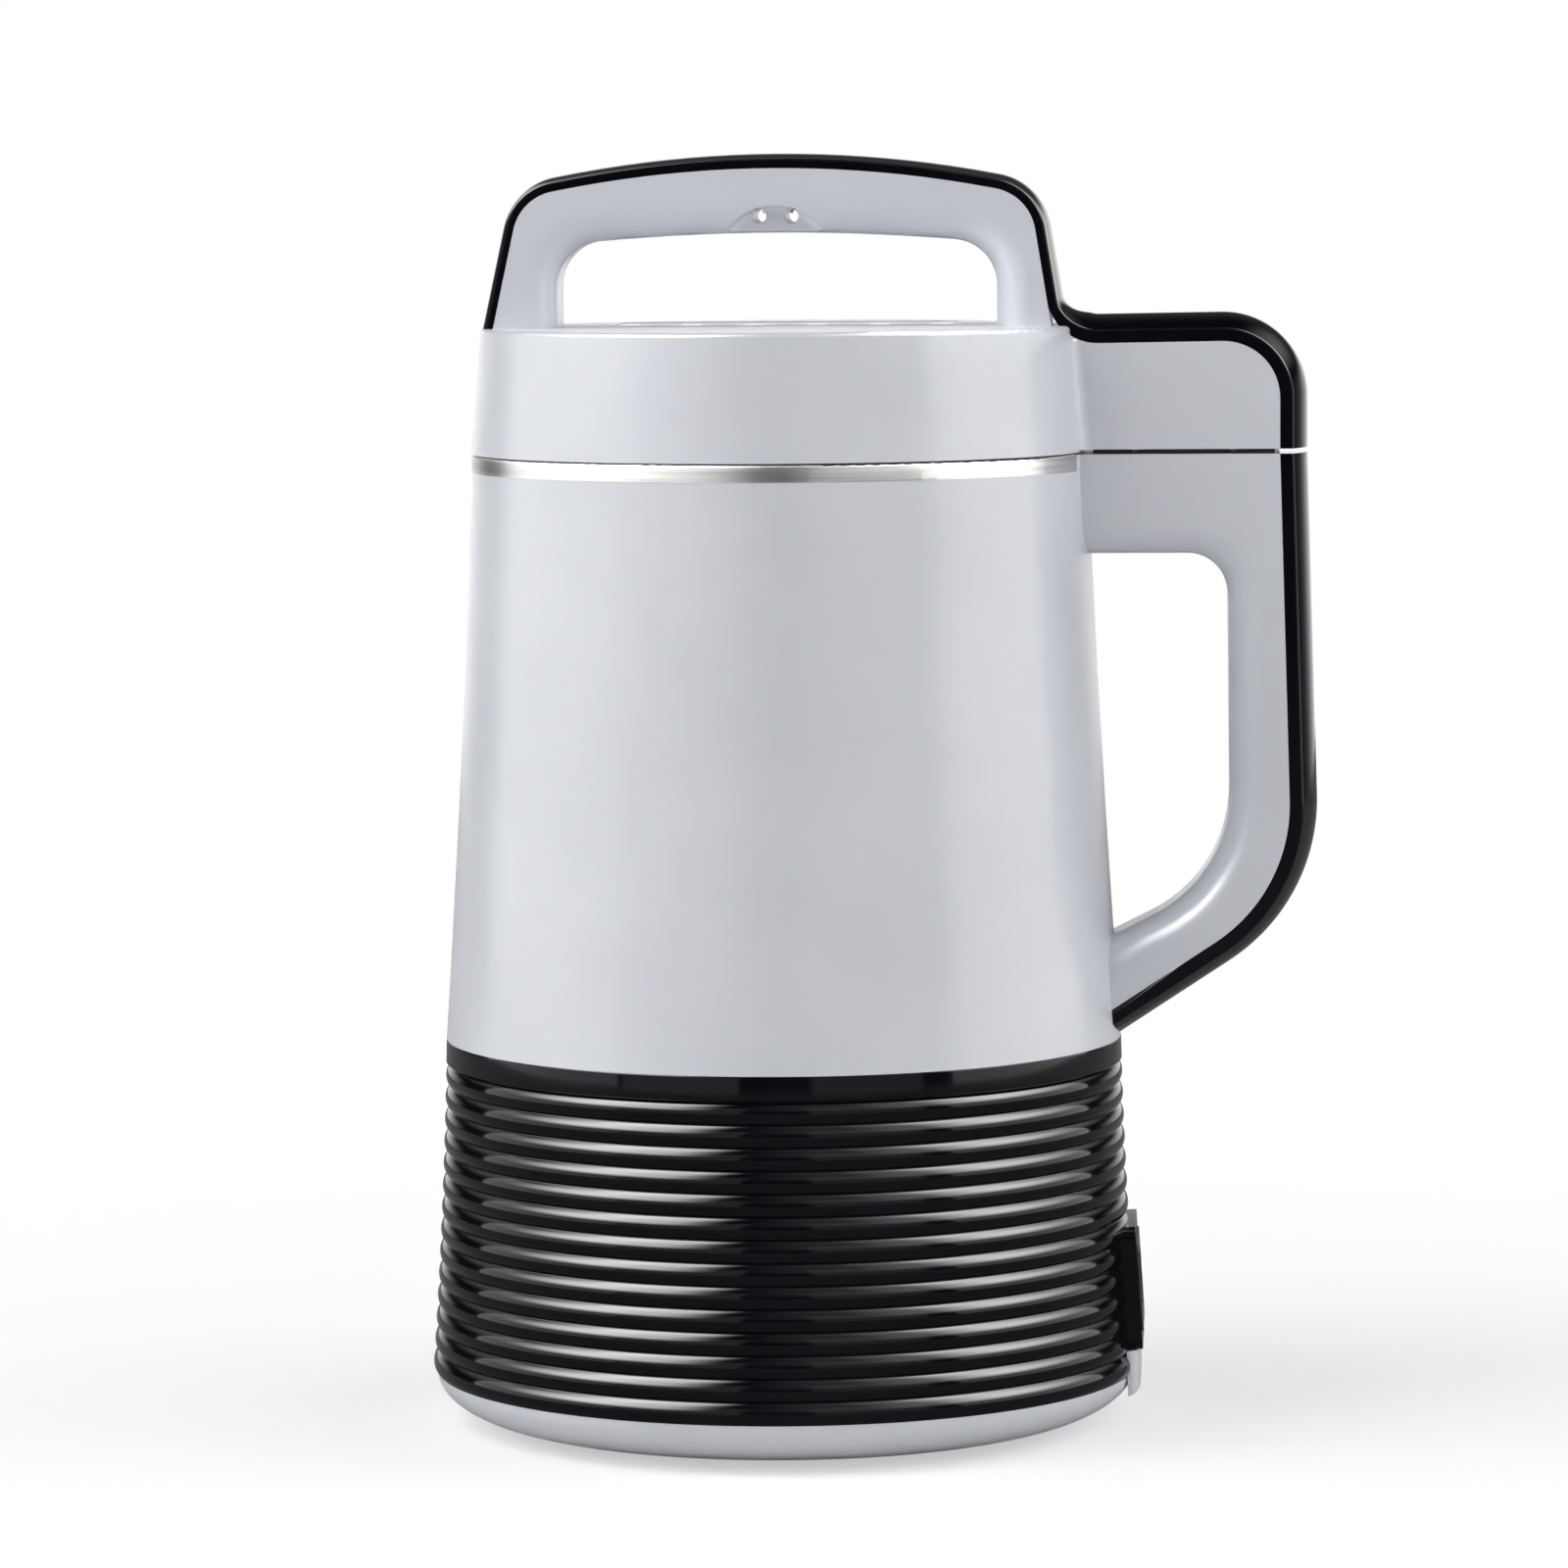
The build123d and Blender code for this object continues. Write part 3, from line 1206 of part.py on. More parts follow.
# Shaft bearings
with BuildPart() as shaft_bearings:
    for level in (bearing_z, top_bearing_z):
        with BuildSketch(Plane.XY.offset(level)):
            Circle(bearing_r)
            Circle(shaft_r + turn_gap, mode=Mode.SUBTRACT)
        extrude(amount=bearing_height)
shaft_bearings.part.label = "shaft_bearings"
export_step(shaft_bearings.part, "parts/shaft_bearings.step")

# Laminated stator
with BuildPart() as stator_stack:
    with BuildSketch(Plane.XY.offset(stack_z)):
        RectangleRounded(2 * frame_half, 2 * frame_half, frame_corner_r)
        Circle(stack_bore_r, mode=Mode.SUBTRACT)
        with GridLocations(2 * motor_bolt_spread, 2 * motor_bolt_spread, 2, 2):
            Circle(motor_bolt_r, mode=Mode.SUBTRACT)
    extrude(amount=stack_height)
stator_stack.part.label = "stator_stack"
export_step(stator_stack.part, "parts/stator_stack.step")

with BuildPart() as field_coils:
    for level in (stack_z - coil_height, stack_z + stack_height):
        with BuildSketch(Plane.XY.offset(level)):
            Circle(coil_outer_r)
            Circle(coil_inner_r, mode=Mode.SUBTRACT)
        extrude(amount=coil_height)
field_coils.part.label = "field_coils"
export_step(field_coils.part, "parts/field_coils.step")

# Long bolts that tie plate, stack and bridge together
with BuildPart() as motor_bolts:
    with BuildSketch(Plane.XY.offset(frame_z)):
        with GridLocations(2 * motor_bolt_spread, 2 * motor_bolt_spread, 2, 2):
            Circle(motor_bolt_r)
    extrude(amount=bridge_z + frame_plate - frame_z)
    with BuildSketch(Plane.XY.offset(bridge_z + frame_plate)):
        with GridLocations(2 * motor_bolt_spread, 2 * motor_bolt_spread, 2, 2):
            RegularPolygon(2 * motor_bolt_r, hex_sides)
    extrude(amount=motor_bolt_r)
motor_bolts.part.label = "motor_bolts"
export_step(motor_bolts.part, "parts/motor_bolts.step")

# Carbon brushes and their holders, on the bridge's underside
with BuildPart() as brush_holders:
    with BuildSketch(Plane.XY.offset(brush_z)):
        for side in (-1, 1):
            with Locations((side * (commutator_r + brush_gap + brush_length / 2), 0)):
                Rectangle(brush_length, brush_width)
    extrude(amount=bridge_z - brush_z)
brush_holders.part.label = "brush_holders"
export_step(brush_holders.part, "parts/brush_holders.step")

# Motor shaft, from the top bearing down to the blade
shaft_top_z = top_bearing_z + bearing_height - level_gap
shaft_bottom_z = blade_z - blade_nut_height
with BuildPart() as drive_shaft:
    with BuildSketch(Plane.XY.offset(shaft_bottom_z)):
        Circle(shaft_r)
    extrude(amount=shaft_top_z - shaft_bottom_z)
    chamfer(edges().group_by(Axis.Z)[0], sheet)
drive_shaft.part.label = "drive_shaft"
export_step(drive_shaft.part, "parts/drive_shaft.step")

with BuildPart() as motor_rotor:
    with BuildSketch(Plane.XY.offset(stack_z)):
        Circle(stack_bore_r - air_gap)
        Circle(shaft_r, mode=Mode.SUBTRACT)
    extrude(amount=stack_height)
    with BuildSketch(Plane.XY.offset(stack_z)):
        with PolarLocations(stack_bore_r - air_gap, rotor_slots):
            Rectangle(slot_depth * 2, slot_width)
    extrude(amount=stack_height, mode=Mode.SUBTRACT)
motor_rotor.part.label = "motor_rotor"
export_step(motor_rotor.part, "parts/motor_rotor.step")

with BuildPart() as commutator:
    with BuildSketch(Plane.XY.offset(commutator_z)):
        Circle(commutator_r)
        Circle(shaft_r, mode=Mode.SUBTRACT)
    extrude(amount=commutator_height)
commutator.part.label = "commutator"
export_step(commutator.part, "parts/commutator.step")

# Cooling fan below the stack
with BuildPart() as cooling_fan:
    with BuildSketch(Plane.XY.offset(fan_z)):
        Circle(fan_r)
        Circle(shaft_r, mode=Mode.SUBTRACT)
    extrude(amount=fan_blade)
    with BuildSketch(Plane.XY.offset(fan_z)):
        Circle(fan_hub_r)
        Circle(shaft_r, mode=Mode.SUBTRACT)
    extrude(amount=fan_height)
    with BuildSketch(Plane.XY.offset(fan_z)):
        with PolarLocations((fan_r + fan_hub_r) / 2 - fan_blade / 4, fan_blades):
            Rectangle(fan_r - fan_hub_r, fan_blade)
    extrude(amount=fan_height)
cooling_fan.part.label = "cooling_fan"
export_step(cooling_fan.part, "parts/cooling_fan.step")

# Bush and lip seal in the sleeve's lower end
with BuildPart() as sleeve_bush:
    with BuildSketch(Plane.XY.offset(sleeve_z + seal_height)):
        Circle(sleeve_bore_r)
        Circle(shaft_r + turn_gap, mode=Mode.SUBTRACT)
    extrude(amount=bush_height)
sleeve_bush.part.label = "sleeve_bush"
export_step(sleeve_bush.part, "parts/sleeve_bush.step")

with BuildPart() as shaft_seal:
    with BuildSketch(Plane.XY.offset(sleeve_z)):
        Circle(sleeve_bore_r)
        Circle(shaft_r + turn_gap, mode=Mode.SUBTRACT)
    extrude(amount=seal_height)
shaft_seal.part.label = "shaft_seal"
export_step(shaft_seal.part, "parts/shaft_seal.step")

# Four-winged blade: two wings bent up and two bent down, tapered towards their tips
wing_pairs = []
for turn, lift in ((0, blade_lift), (quarter_turn, -blade_lift)):
    with BuildPart() as wing_pair:
        with BuildSketch(Plane.XZ):
            with BuildLine():
                Polyline(
                    (-blade_r, blade_z + lift), (-blade_bend_r, blade_z), (blade_bend_r, blade_z),
                    (blade_r, blade_z + lift), (blade_r, blade_z + lift + blade_thickness),
                    (blade_bend_r, blade_z + blade_thickness), (-blade_bend_r, blade_z + blade_thickness),
                    (-blade_r, blade_z + lift + blade_thickness), close=True)
            make_face()
        extrude(amount=blade_width / 2, both=True)
        with BuildSketch(Plane.XY.offset(blade_z - blade_lift)):
            with BuildLine():
                Polyline(
                    (-blade_r, -blade_tip_width / 2), (-blade_hub_r, -blade_width / 2),
                    (blade_hub_r, -blade_width / 2),
                    (blade_r, blade_tip_width / 2 - blade_width / 2), (blade_r, blade_width / 2),
                    (-blade_r, blade_width / 2 - blade_tip_width / 2), close=True)
            make_face()
        extrude(amount=2 * blade_lift + blade_thickness, mode=Mode.INTERSECT)
    wing_pairs.append(wing_pair.part.rotate(Axis.Z, turn))
with BuildPart() as blade:
    add(wing_pairs)
    with BuildSketch(Plane.XY.offset(blade_z)):
        Circle(shaft_r)
    extrude(amount=blade_thickness, mode=Mode.SUBTRACT)
blade.part.label = "blade"
export_step(blade.part, "parts/blade.step")

with BuildPart() as blade_spacer:
    with BuildSketch(Plane.XY.offset(blade_z + blade_thickness)):
        Circle(blade_hub_r)
        Circle(shaft_r, mode=Mode.SUBTRACT)
    extrude(amount=blade_drop - seat_gap)
blade_spacer.part.label = "blade_spacer"
export_step(blade_spacer.part, "parts/blade_spacer.step")

with BuildPart() as blade_nut:
    with BuildSketch(Plane.XY.offset(blade_z)):
        RegularPolygon(blade_nut_r, hex_sides)
        Circle(shaft_r, mode=Mode.SUBTRACT)
    extrude(amount=-blade_nut_height + sheet * 2)
blade_nut.part.label = "blade_nut"
export_step(blade_nut.part, "parts/blade_nut.step")

# Control board under the deck, and the switches that the buttons press
with BuildPart() as control_board:
    with BuildSketch(Plane.XY.offset(board_z)):
        Circle(board_r)
        Circle(board_bore_r, mode=Mode.SUBTRACT)
        for angle in board_post_angles:
            with PolarLocations(board_post_circle_r, 1, start_angle=angle):
                Circle(board_screw_r, mode=Mode.SUBTRACT)
    extrude(amount=board_thickness)
control_board.part.label = "control_board"
export_step(control_board.part, "parts/control_board.step")

with BuildPart() as board_screws:
    with BuildSketch(Plane.XY.offset(board_z)):
        for angle in board_post_angles:
            with PolarLocations(board_post_circle_r, 1, start_angle=angle):
                Circle(board_screw_r)
    extrude(amount=board_thickness + board_drop)
    with BuildSketch(Plane.XY.offset(board_z)):
        for angle in board_post_angles:
            with PolarLocations(board_post_circle_r, 1, start_angle=angle):
                Circle(2 * board_screw_r)
    extrude(amount=-board_screw_head)
board_screws.part.label = "board_screws"
export_step(board_screws.part, "parts/board_screws.step")

switch_top_z = fascia_z - button_gap - button_collar - button_stem - button_travel - seat_gap
with BuildPart() as button_switches:
    with BuildSketch(Plane.XY.offset(board_z + board_thickness)):
        with Locations(*button_places):
            Rectangle(switch_size, switch_size)
    extrude(amount=switch_top_z - board_z - board_thickness)
button_switches.part.label = "button_switches"
export_step(button_switches.part, "parts/button_switches.step")

# Power board that hangs from the control board, with its relay and transformer
with BuildPart() as power_board:
    with BuildSketch(Plane.XY.offset(board_z)):
        with Locations((0, -power_board_y)):
            Rectangle(power_board_length, board_thickness)
    extrude(amount=-power_board_height)
power_board.part.label = "power_board"
export_step(power_board.part, "parts/power_board.step")

with BuildPart() as power_components:
    with BuildSketch(Plane.XZ.offset(power_board_y - board_thickness / 2)):
        with Locations((-power_board_length / 4, board_z - power_board_height / 2)):
            Rectangle(transformer_size, transformer_size)
    extrude(amount=-power_depth)
    with BuildSketch(Plane.XZ.offset(power_board_y - board_thickness / 2)):
        with Locations((power_board_length / 4, board_z - power_board_height / 2)):
            Rectangle(relay_size, relay_size + relay_height / 2)
    extrude(amount=-power_depth)
power_components.part.label = "power_components"
export_step(power_components.part, "parts/power_components.step")

# Coupler plug under the arm, with its pins
with BuildPart() as coupler_plug:
    with BuildSketch(Plane.XY.offset(arm_z - plug_drop)):
        with Locations((coupler_x, 0)):
            Rectangle(plug_length, plug_width)
    extrude(amount=plug_drop + base_plate)
    with BuildSketch(Plane.XY.offset(arm_z + base_plate)):
        with Locations((coupler_x, 0)):
            Rectangle(plug_length + 2 * plug_shoulder, plug_width + 2 * plug_shoulder)
    extrude(amount=plug_height)
coupler_plug.part.label = "coupler_plug"
export_step(coupler_plug.part, "parts/coupler_plug.step")

with BuildPart() as coupler_pins:
    with BuildSketch(Plane.XY.offset(arm_z - plug_drop)):
        with Locations((coupler_x, 0)):
            with GridLocations(coupler_pin_pitch, coupler_pin_pitch, coupler_pin_count, 1):
                Circle(coupler_pin_r)
    extrude(amount=-coupler_pin_reach)
    fillet(edges().group_by(Axis.Z)[0], coupler_pin_r / 2)
coupler_pins.part.label = "coupler_pins"
export_step(coupler_pins.part, "parts/coupler_pins.step")
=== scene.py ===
# %% [markdown]
# # An infuser jug, dressed for its picture
#
# The CAD model gives every piece its place: the steel cup, the grey jug, the black
# ribbed skirt and the motor head. This lesson puts a studio round it, models the
# outside again with softer forms, and gives every piece a finish of its own.

# %% Load the frame
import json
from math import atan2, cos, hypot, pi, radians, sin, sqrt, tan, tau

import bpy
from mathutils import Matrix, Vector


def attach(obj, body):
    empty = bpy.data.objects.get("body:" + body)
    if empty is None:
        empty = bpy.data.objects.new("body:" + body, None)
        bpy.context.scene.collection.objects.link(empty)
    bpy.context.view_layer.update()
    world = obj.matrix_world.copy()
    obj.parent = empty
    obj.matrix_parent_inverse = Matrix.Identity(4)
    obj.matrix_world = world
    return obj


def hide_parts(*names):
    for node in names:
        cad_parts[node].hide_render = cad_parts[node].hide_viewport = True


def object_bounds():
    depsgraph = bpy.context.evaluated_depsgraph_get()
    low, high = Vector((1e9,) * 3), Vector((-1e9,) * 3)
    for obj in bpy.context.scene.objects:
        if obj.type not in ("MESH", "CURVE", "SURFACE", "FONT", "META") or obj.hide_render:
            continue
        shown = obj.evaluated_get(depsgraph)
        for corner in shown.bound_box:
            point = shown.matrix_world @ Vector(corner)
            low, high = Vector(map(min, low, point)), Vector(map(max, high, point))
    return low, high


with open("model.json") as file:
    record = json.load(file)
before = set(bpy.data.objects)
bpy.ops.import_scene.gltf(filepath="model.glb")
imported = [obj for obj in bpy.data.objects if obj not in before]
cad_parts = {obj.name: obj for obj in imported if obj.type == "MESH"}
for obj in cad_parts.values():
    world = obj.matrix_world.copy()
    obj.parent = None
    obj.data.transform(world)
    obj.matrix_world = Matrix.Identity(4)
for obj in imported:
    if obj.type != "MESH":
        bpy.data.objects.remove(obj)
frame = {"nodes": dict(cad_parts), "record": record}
cad_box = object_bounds()

# %% [markdown]
# ## Sizes
#
# Blender works in metres, and a jug is easier to think of in millimetres. One
# short name turns the one into the other, so every size below reads in
# millimetres.

mm = 0.001
nodes = frame["nodes"]
low, high = cad_box
print("The model measures", [round(float(b - a) / mm, 1) for a, b in zip(low, high)], "mm")

# %% [markdown]
# ## The camera
#
# A long lens from almost two metres away keeps the jug's sides nearly straight,
# as in a shop picture. The camera stands a little above the middle of the jug and
# looks a few degrees down. It turns round the jug by a few degrees, so that the
# handle comes slightly forward.

# %% Place the camera
look_height = 171.3 * mm
camera_reach = 1869 * mm
camera_drop = radians(5.04)
camera_turn = radians(3.5)
camera_roll = radians(-0.40)

look_at = Vector((0.5 * mm, 0, look_height))
camera_way = Vector((sin(camera_turn) * cos(camera_drop), -cos(camera_turn) * cos(camera_drop),
                     sin(camera_drop)))
bpy.ops.object.select_all(action="DESELECT")
bpy.ops.object.camera_add(location=look_at + camera_reach * camera_way)
camera = bpy.context.object
camera.rotation_mode = "QUATERNION"
camera.rotation_quaternion = camera_way.to_track_quat("Z", "Y")
camera.rotation_mode = "XYZ"
camera.rotation_euler.rotate_axis("Z", camera_roll)
camera.data.lens = 159.8
camera.data.clip_end = 100
bpy.context.scene.camera = camera
bpy.context.scene.view_settings.view_transform = "Standard"
print("The camera is", round(camera.location.length, 3), "m from the origin")

# %% [markdown]
# ## The room
#
# Such a jug is photographed on white, and most of its gloss is the room seen in
# it: a white sweep behind the jug, which draws a pale line down both sides, a dim
# room in front, and two big soft panels that lean in from high left and right. In
# the black ribs each panel lights the upper half of every rib. The world gives all
# three. Its brightness follows the direction of a ray, with the panels laid out as
# a ramp round the room, and only what the camera sees directly is plain white.
# First come the helpers, and a node that takes a direction apart into X, Y and Z.

# %% Start the world
def world_node(kind, **values):
    """A new node in the world's tree."""
    made = world.node_tree.nodes.new(kind)
    for name, value in values.items():
        setattr(made, name, value)
    return made


def smooth_range(start, end, first, last):
    """A node that goes smoothly from first to last, while its value goes from start to end."""
    made = world_node("ShaderNodeMapRange", interpolation_type="SMOOTHSTEP")
    limits = {"From Min": start, "From Max": end, "To Min": first, "To Max": last}
    for socket, limit in limits.items():
        made.inputs[socket].default_value = limit
    return made


def times(one, other):
    """The product of two sockets."""
    made = world_node("ShaderNodeMath", operation="MULTIPLY")
    join(one, made.inputs[0])
    join(other, made.inputs[1])
    return made.outputs[0]


world = bpy.data.worlds.new("white_room")
bpy.context.scene.world = world
world.use_nodes = True
join = world.node_tree.links.new
direction = world_node("ShaderNodeTexCoord")
parts = world_node("ShaderNodeSeparateXYZ")
join(direction.outputs["Generated"], parts.inputs[0])

# %% [markdown]
# The sweep is seen by rays that graze the jug and go on behind it, so it follows
# the share of Y in a ray's direction. It is bright low down only, or the strips
# would show white on top as well.

# %% Light the sweep
sweep = smooth_range(0.68, 0.97, 0.02, 1.25)
sweep_top = smooth_range(0.06, 0.2, 1.0, 0.06)
join(parts.outputs["Y"], sweep.inputs["Value"])
join(parts.outputs["Z"], sweep_top.inputs["Value"])
low_sweep = times(sweep.outputs["Result"], sweep_top.outputs["Result"])
print("The sweep reaches a strength of", sweep.inputs["To Max"].default_value)

# %% [markdown]
# The panels are a colour ramp round the room: each stop is a turn from the camera
# in degrees, with its share of the full strength. They start some way above the
# floor's level, and fade out near the zenith.

# %% Hang the panels
panel_levels = {-180: 0.0, -112: 0.03, -66: 1.0, -46: 0.75, -19: 0.0,
                28: 0.03, 52: 0.12, 84: 0.76, 132: 0.04, 165: 0.0}
panel_strength = 38.0
backwards = world_node("ShaderNodeMath", operation="MULTIPLY")
backwards.inputs[1].default_value = -1.0
round_the_room = world_node("ShaderNodeMath", operation="ARCTAN2")
turn_share = world_node("ShaderNodeMapRange")
turn_share.inputs["From Min"].default_value = -pi
turn_share.inputs["From Max"].default_value = pi
panels = world_node("ShaderNodeValToRGB")
panels.color_ramp.interpolation = "EASE"
stops = panels.color_ramp.elements
stops.remove(stops[1])
for turn, level in panel_levels.items():
    stop = stops[0] if turn == -180 else stops.new(turn / 360 + 0.5)
    stop.color = (level, level, level, 1.0)
join(parts.outputs["Y"], backwards.inputs[0])
join(parts.outputs["X"], round_the_room.inputs[0])
join(backwards.outputs[0], round_the_room.inputs[1])
join(round_the_room.outputs[0], turn_share.inputs["Value"])
join(turn_share.outputs["Result"], panels.inputs["Fac"])
panel_feet = smooth_range(0.2, 0.5, 0.0, panel_strength)
panel_tops = smooth_range(0.93, 0.99, 1.0, 0.15)
join(parts.outputs["Z"], panel_feet.inputs["Value"])
join(parts.outputs["Z"], panel_tops.inputs["Value"])
panel_spread = times(panel_feet.outputs["Result"], panel_tops.outputs["Result"])
panel_light = times(panels.outputs["Color"], panel_spread)
print("The panels have", len(stops), "stops round the room")

# %% [markdown]
# Last, the rays are told apart. Glossy rays get the sweep and the panels, dull ones
# a plain level from all sides, and what the camera sees itself is white.

# %% Tell the rays apart
dull_level = 0.15
rays = world_node("ShaderNodeLightPath")
room_light = world_node("ShaderNodeMath", operation="ADD")
mirrored = world_node("ShaderNodeMix", data_type="FLOAT")
mirrored.inputs[2].default_value = dull_level
join(panel_light, room_light.inputs[0])
join(low_sweep, room_light.inputs[1])
join(rays.outputs["Is Glossy Ray"], mirrored.inputs[0])
join(room_light.outputs[0], mirrored.inputs[3])
seen = world_node("ShaderNodeMath", operation="MAXIMUM")
shown = world_node("ShaderNodeMath", operation="MAXIMUM")
join(rays.outputs["Is Camera Ray"], seen.inputs[0])
join(rays.outputs["Is Transmission Ray"], seen.inputs[1])
join(seen.outputs[0], shown.inputs[0])
join(mirrored.outputs[0], shown.inputs[1])
background = world.node_tree.nodes["Background"]
background.inputs["Color"].default_value = (1.0, 1.0, 1.0, 1.0)
join(shown.outputs[0], background.inputs["Strength"])
print("The world has", len(world.node_tree.nodes), "nodes")

# %% [markdown]
# ## The lamps
#
# Two wide soft boxes and two narrow ones stand left and right of the camera, with
# a dark gap between them where the photographer stands. The left side is the
# stronger. On the grey wall they show as broad soft bands, and in the steel as
# bright fields. Each has a turn from the camera in degrees, a width in metres and a
# power in watts. Two smaller boxes hang above them and one overhead, for the deck
# and for every surface that faces up. The small one on the right is kept out of the
# gloss, where it would draw a hard line along the deck and the steel.

# %% Hang the soft boxes
def soft_box(name, turn, rise, reach, size, power):
    """A rectangular lamp that faces the jug, from an angle round it and a height above it."""
    bpy.ops.object.select_all(action="DESELECT")
    way = Vector((sin(turn) * cos(rise), -cos(turn) * cos(rise), sin(rise)))
    bpy.ops.object.light_add(type="AREA", location=look_at + reach * way)
    lamp = bpy.context.object
    lamp.name = name
    lamp.rotation_mode = "QUATERNION"
    lamp.rotation_quaternion = way.to_track_quat("Z", "Y")
    lamp.data.shape = "RECTANGLE"
    lamp.data.size, lamp.data.size_y = size
    lamp.data.energy = power
    return lamp


tall_boxes = {-84: (2.1, 22.0), -31: (1.25, 6.0), 31: (1.17, 4.3), 93: (2.2, 28.0)}
box_height = 1.7
box_reach = 1.7
for turn, (width, power) in tall_boxes.items():
    soft_box(f"tall_box_at_{turn % 360}", radians(turn), radians(8), box_reach, (width, box_height), power)
soft_box("left_high", radians(-55), radians(50), 1.5, (0.9, 0.6), 8.0)
right_high = soft_box("right_high", radians(55), radians(50), 1.5, (0.9, 0.6), 3.0)
right_high.visible_glossy = False
soft_box("top_box", radians(10), radians(80), 1.4, (1.2, 1.0), 0.6)

# %% [markdown]
# ## The floor
#
# The floor is a wide white disc that fades into the white world, so no edge shows,
# but it keeps the jug's soft shadow. In the jug's own gloss it is dimmed, as the
# lower half of each black rib is nearly black. It belongs to the studio and not to
# the jug, so it is attached to no body.

# %% Lay the floor
floor_r = 2.4
bpy.ops.object.select_all(action="DESELECT")
bpy.ops.mesh.primitive_circle_add(vertices=96, radius=floor_r, fill_type="NGON")
floor = bpy.context.object
floor.name = "floor"

paper = bpy.data.materials.new("floor_paper")
paper.use_nodes = True
grow = paper.node_tree.nodes.new
tie = paper.node_tree.links.new
dull = paper.node_tree.nodes["Principled BSDF"]
dull.inputs["Base Color"].default_value = (0.88, 0.88, 0.88, 1.0)
dull.inputs["Roughness"].default_value = 0.9
floor.data.materials.append(paper)
print("The floor is", round(floor.dimensions.x, 2), "m wide")

# %% [markdown]
# Where the camera looks, the paper starts to glow with its distance from the jug,
# until it is as white as the world.

# %% Fade the floor into the white
glow = grow("ShaderNodeEmission")
place = grow("ShaderNodeTexCoord")
distance = grow("ShaderNodeVectorMath")
distance.operation = "LENGTH"
fade = grow("ShaderNodeMapRange")
fade.interpolation_type = "SMOOTHSTEP"
fade.inputs["From Min"].default_value = 0.10
fade.inputs["From Max"].default_value = 0.55
fade.inputs["To Min"].default_value = 0.5
eye = grow("ShaderNodeLightPath")
glow_share = grow("ShaderNodeMath")
glow_share.operation = "MULTIPLY"
blend = grow("ShaderNodeMixShader")
tie(place.outputs["Object"], distance.inputs[0])
tie(distance.outputs["Value"], fade.inputs["Value"])
tie(fade.outputs["Result"], glow_share.inputs[0])
tie(eye.outputs["Is Camera Ray"], glow_share.inputs[1])
tie(glow_share.outputs[0], blend.inputs[0])
tie(dull.outputs[0], blend.inputs[1])
tie(glow.outputs[0], blend.inputs[2])

# %% [markdown]
# Glossy rays meet a floor that is mostly a dim grey.

# %% Dim the floor in the gloss
dim = grow("ShaderNodeMath")
dim.operation = "MULTIPLY"
dim.inputs[1].default_value = 0.75
shade = grow("ShaderNodeEmission")
shade.inputs["Strength"].default_value = 0.02
in_gloss = grow("ShaderNodeMixShader")
tie(eye.outputs["Is Glossy Ray"], dim.inputs[0])
tie(dim.outputs[0], in_gloss.inputs[0])
tie(blend.outputs[0], in_gloss.inputs[1])
tie(shade.outputs[0], in_gloss.inputs[2])
tie(in_gloss.outputs[0], paper.node_tree.nodes["Material Output"].inputs["Surface"])
print("The paper has", len(paper.node_tree.nodes), "nodes")

# %% [markdown]
# ## Finishes
#
# No moulded or rolled surface is one flat colour. Each finish here is a shader with
# two close tones mixed by a cloudy noise, a gloss that varies a little with the
# same noise, and a fine grain in its bump. A stretched grain makes the brush marks
# of steel. The patterns read object coordinates, so they stay on the piece when it
# moves.

# %% A helper for finishes
def finish(name, dark, pale, cloud, gloss, grain, depth, stretch=(1, 1, 1), **sockets):
    """A material with two tones, a varying gloss and a fine grain.

    cloud and grain are the scales of the two noises, gloss is the range of the
    roughness, depth the strength of the bump and stretch the scale of both noises
    along X, Y and Z. Other shader sockets are set by their names.
    """
    made = bpy.data.materials.new(name)
    made.use_nodes = True
    add, link = made.node_tree.nodes.new, made.node_tree.links.new
    shader = made.node_tree.nodes["Principled BSDF"]
    for socket, value in sockets.items():
        shader.inputs[socket.replace("_", " ")].default_value = value
    place = add("ShaderNodeTexCoord")
    laid = add("ShaderNodeMapping")
    laid.inputs["Scale"].default_value = stretch
    link(place.outputs["Object"], laid.inputs["Vector"])
    clouds, grains = add("ShaderNodeTexNoise"), add("ShaderNodeTexNoise")
    for noise, scale in ((clouds, cloud), (grains, grain)):
        noise.inputs["Scale"].default_value = scale
        noise.inputs["Detail"].default_value = 4.0
        link(laid.outputs["Vector"], noise.inputs["Vector"])
    tones = add("ShaderNodeValToRGB")
    tones.color_ramp.elements[0].position, tones.color_ramp.elements[1].position = 0.35, 0.65
    tones.color_ramp.elements[0].color = (*dark, 1.0)
    tones.color_ramp.elements[1].color = (*pale, 1.0)
    shine = add("ShaderNodeMapRange")
    shine.inputs["To Min"].default_value, shine.inputs["To Max"].default_value = gloss
    bump = add("ShaderNodeBump")
    bump.inputs["Strength"].default_value = depth
    bump.inputs["Distance"].default_value = 0.1 * mm
    link(clouds.outputs["Fac"], tones.inputs["Fac"])
    link(tones.outputs["Color"], shader.inputs["Base Color"])
    link(clouds.outputs["Fac"], shine.inputs["Value"])
    link(shine.outputs["Result"], shader.inputs["Roughness"])
    link(grains.outputs["Fac"], bump.inputs["Height"])
    link(bump.outputs["Normal"], shader.inputs["Normal"])
    return made


# %% [markdown]
# ## The mouldings
#
# Three plastics make the outside. The grey one is a cool, glossy pearl grey. The
# black skirt and strips are polished far more, so they act as a dark mirror. The
# third is a satin black, for the inlet and the parts inside.

